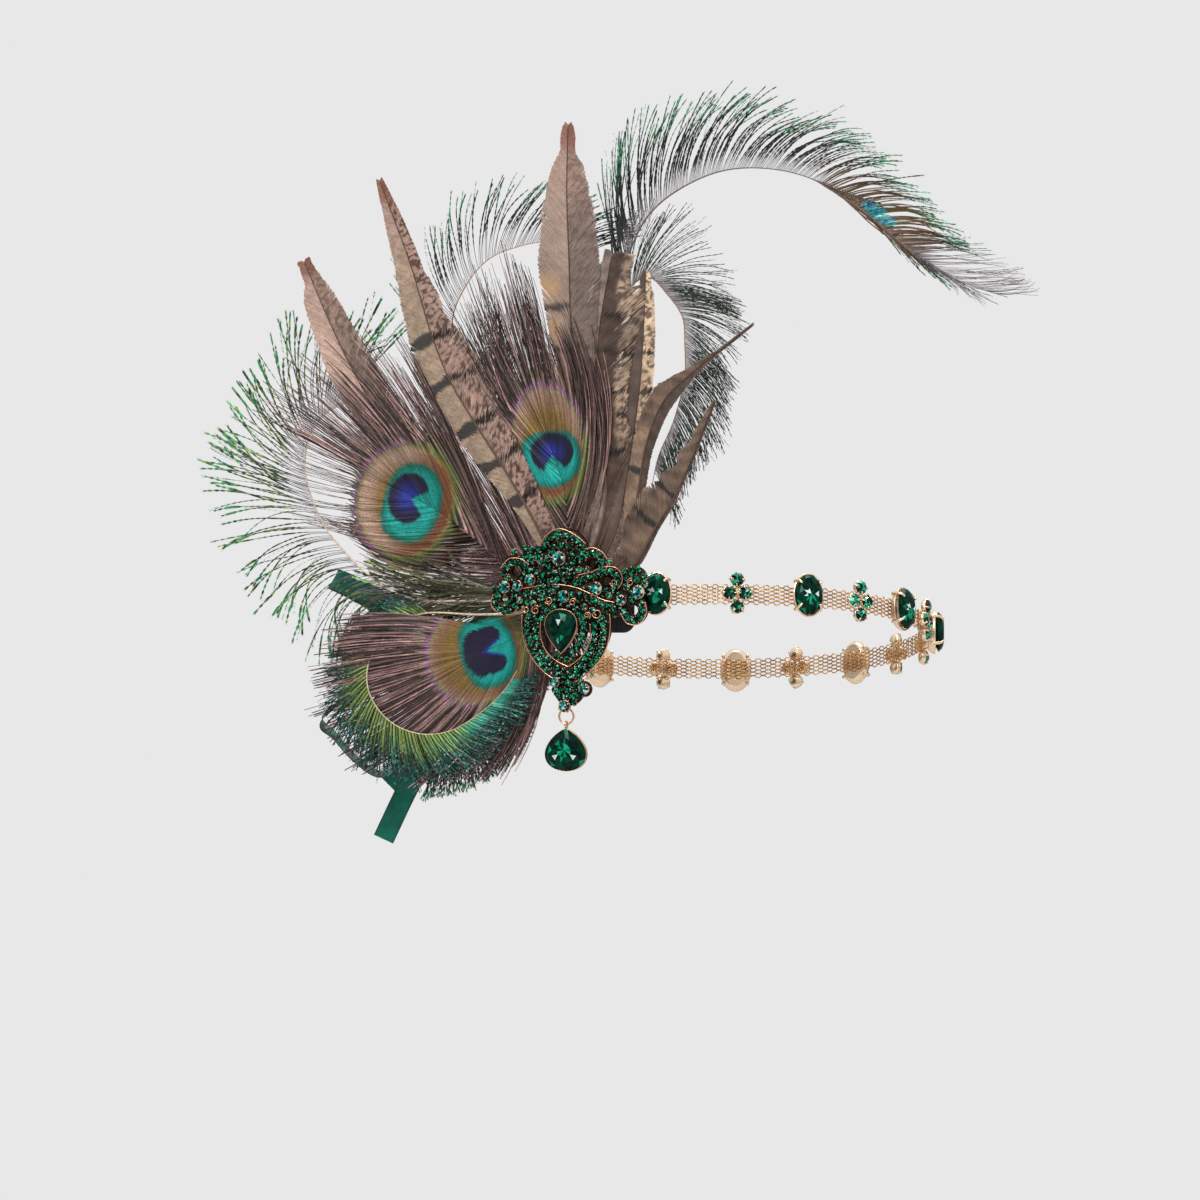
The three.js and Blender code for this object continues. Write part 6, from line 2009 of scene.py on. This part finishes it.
def add_ribbon_run(cloth, edges, rows, widthways):
    """A run of ribbon along a path, curled a little across its width, with a corded edge on each side."""
    line = Spine(rows)
    share = np.linspace(0, 1, RIBBON_STEPS)
    path = line.at(share)
    along = unit(np.gradient(path, axis=0))
    widthways = np.asarray(widthways, float)
    across = unit(widthways - along * (along @ widthways)[:, None])
    through = np.cross(along, across)
    reach = np.linspace(-1, 1, RIBBON_COLUMNS)[None, :, None]
    half = RIBBON_WIDTH / 2 - EDGE_CORD
    points = path[:, None] + half * reach * across[:, None] + RIBBON_CURL * (1 - reach**2) * through[:, None]
    run = np.broadcast_to((share * line.length * THREADS_PER_MM)[:, None], points.shape[:2])
    over = np.broadcast_to(half * reach[..., 0] * THREADS_PER_MM, points.shape[:2])
    cloth.add(points, grid_faces(RIBBON_STEPS, RIBBON_COLUMNS), uv=np.stack([over, run], -1))
    stitch_count = round(line.length / STITCH)
    stitches = np.linspace(0, 1, stitch_count * STITCH_STEPS + 1)
    cord = EDGE_CORD * (0.75 + 0.35 * np.sin(2 * math.pi * stitches * stitch_count))
    for column in (0, RIBBON_COLUMNS - 1):
        edge = np.stack([np.interp(stitches, share, points[:, column, axis]) for axis in range(3)], -1)
        add_tube(edges, edge, cord, CORD_SIDES)
    return line.length


for name, run in RIBBONS.items():
    cloth, edges = Piece(), Piece()
    length = add_ribbon_run(cloth, edges, run["path"], run["widthways"])
    made = cloth.build(f"{name}_satin", [SATIN], replaces=[name], slot="satin_ribbon")
    corded = edges.build(f"{name}_edges", [EDGE_SATIN], slot="satin_ribbon")
    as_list(run["rests_on"])


# Knot

KNOT_CENTRE = np.array([-117.0, 2.0, -14.0])
KNOT_SIZE = np.array([9.0, 11.0, 13.0])
KNOT_ROWS = 25
KNOT_SIDES = 48
# Millimetres of ribbon in a radian round the knot and in half its height
KNOT_ROUND = 5
KNOT_HALF = 6


def add_knot(piece):
    """A ribbon wound once round the bow's middle, with pulled folds."""
    height = np.linspace(-1, 1, KNOT_ROWS)[:, None]
    angle = round_angles(KNOT_SIDES)[None, :]
    waist = np.sqrt(np.clip(1 - 0.86 * np.abs(height) ** 2.4, 0.0, 1))
    folds = 1 + 0.035 * np.sin(5.2 * height * math.pi + 1.4 * np.sin(angle))
    right = waist * np.cos(angle) * folds
    behind = waist * np.sin(angle) * folds
    up = height * (0.96 + 0.04 * np.cos(2 * angle))
    points = KNOT_CENTRE + np.stack([right, behind, up], -1) * KNOT_SIZE / 2
    around = np.broadcast_to(angle * KNOT_ROUND * THREADS_PER_MM, right.shape)
    uv = np.stack([up * KNOT_HALF * THREADS_PER_MM, around], -1)
    piece.add(points, grid_faces(KNOT_ROWS, KNOT_SIDES, True), uv=uv)
    ends = np.arange(KNOT_SIDES)
    piece.add(points[0], ends[None, ::-1], uv=uv[0])
    piece.add(points[-1], ends[None, :], uv=uv[-1])


knot = Piece()
add_knot(knot)
knot.build("bow_knot_wrap", [SATIN], replaces=["bow_knot"], slot="satin_ribbon")


# Stage, light and camera

FLOOR_HEIGHT = -0.40
FLOOR_RADIUS = 2.0
FLOOR_SIDES = 96
BACKDROP = linear(232, 232, 232)
SOFT_LIGHT = 0.42
# What shines sees a grey below one share of the height of the world, and a light above another
SHINE_LOW = (0.3, (0.10, 0.10, 0.10))
SHINE_HIGH = (0.75, (0.85, 0.85, 0.85))
# Lamps: name, place, size, power and whether they show in what shines
LAMPS = (
    ("key", (-0.9, -1.6, 1.5), 0.9, 26.0, True), ("fill", (1.4, -1.5, 0.5), 1.0, 9.0, False),
    ("top", (0.1, 0.3, 1.9), 0.9, 14.0, True),
)
FARTHEST = 40.0


def area_light(name, place, size, power, mirrored):
    made = bpy.data.lights.new(name, "AREA")
    made.shape = "DISK"
    made.size = size
    made.energy = power
    lamp = bpy.data.objects.new(name, made)
    lamp.location = place
    lamp.visible_glossy = mirrored
    lamp.rotation_mode = "QUATERNION"
    lamp.rotation_quaternion = (Vector(AIM) - Vector(place)).to_track_quat("-Z", "Y")
    bpy.context.scene.collection.objects.link(lamp)


def add_choice(nodes, share, first, second):
    """One shader where a share is 0, and another where it is 1."""
    made = nodes.new("ShaderNodeMixShader")
    for source, socket in zip((share, first, second), made.inputs):
        made.id_data.links.new(source, socket)
    return made.outputs["Shader"]


def studio_world():
    """A plain backdrop for the camera, a dimmer light on matt surfaces and a graded one in what shines."""
    world = bpy.data.worlds.new("studio")
    bpy.context.scene.world = world
    world.use_nodes = True
    nodes, links = world.node_tree.nodes, world.node_tree.links
    plain = nodes["Background"]
    soft = nodes.new("ShaderNodeBackground")
    shine = nodes.new("ShaderNodeBackground")
    set_inputs(plain, Color=(*BACKDROP, 1))
    set_inputs(soft, Color=(*BACKDROP, 1), Strength=SOFT_LIGHT)
    place = nodes.new("ShaderNodeTexCoord")
    axes = nodes.new("ShaderNodeSeparateXYZ")
    links.new(place.outputs["Generated"], axes.inputs["Vector"])
    rise = add_range(nodes, axes.outputs["Z"], 0.0, 1.0, from_low=-1.0)
    links.new(add_ramp(nodes, rise, *SHINE_LOW, *SHINE_HIGH), shine.inputs["Color"])
    path = nodes.new("ShaderNodeLightPath")
    either = nodes.new("ShaderNodeMath")
    either.operation = "MAXIMUM"
    links.new(path.outputs["Is Glossy Ray"], either.inputs[0])
    links.new(path.outputs["Is Transmission Ray"], either.inputs[1])
    lit = add_choice(nodes, either.outputs["Value"], soft.outputs["Background"], shine.outputs["Background"])
    seen = add_choice(nodes, path.outputs["Is Camera Ray"], lit, plain.outputs["Background"])
    links.new(seen, nodes["World Output"].inputs["Surface"])


def floor_disc():
    angle = round_angles(FLOOR_SIDES)
    right, behind = FLOOR_RADIUS * np.cos(angle), FLOOR_RADIUS * np.sin(angle)
    ring = np.stack([right, behind, np.full(FLOOR_SIDES, FLOOR_HEIGHT)], -1)
    mesh = bpy.data.meshes.new("floor")
    mesh.from_pydata([tuple(point) for point in ring], [], [tuple(range(FLOOR_SIDES))])
    made, nodes, links, shader = node_material("floor_paint", Roughness=0.8)
    paint = two_colours(nodes, add_noise(nodes, scale=3.0), linear(226, 226, 226), linear(236, 236, 236))
    links.new(paint, shader.inputs["Base Color"])
    mesh.materials.append(made)
    floor = bpy.data.objects.new("floor", mesh)
    bpy.context.scene.collection.objects.link(floor)


studio_world()
floor_disc()
for lamp in LAMPS:
    area_light(*lamp)

bpy.context.scene.view_settings.view_transform = "Standard"
camera = bpy.data.cameras.new("camera")
camera.lens = LENS
camera.sensor_width = SENSOR
camera.clip_end = FARTHEST
viewer = bpy.data.objects.new("camera", camera)
viewer.location = (AIM[0], -PICTURE_SPAN * LENS / SENSOR, AIM[2])
viewer.rotation_euler = (math.pi / 2, 0.0, 0.0)
bpy.context.scene.collection.objects.link(viewer)
bpy.context.scene.camera = viewer
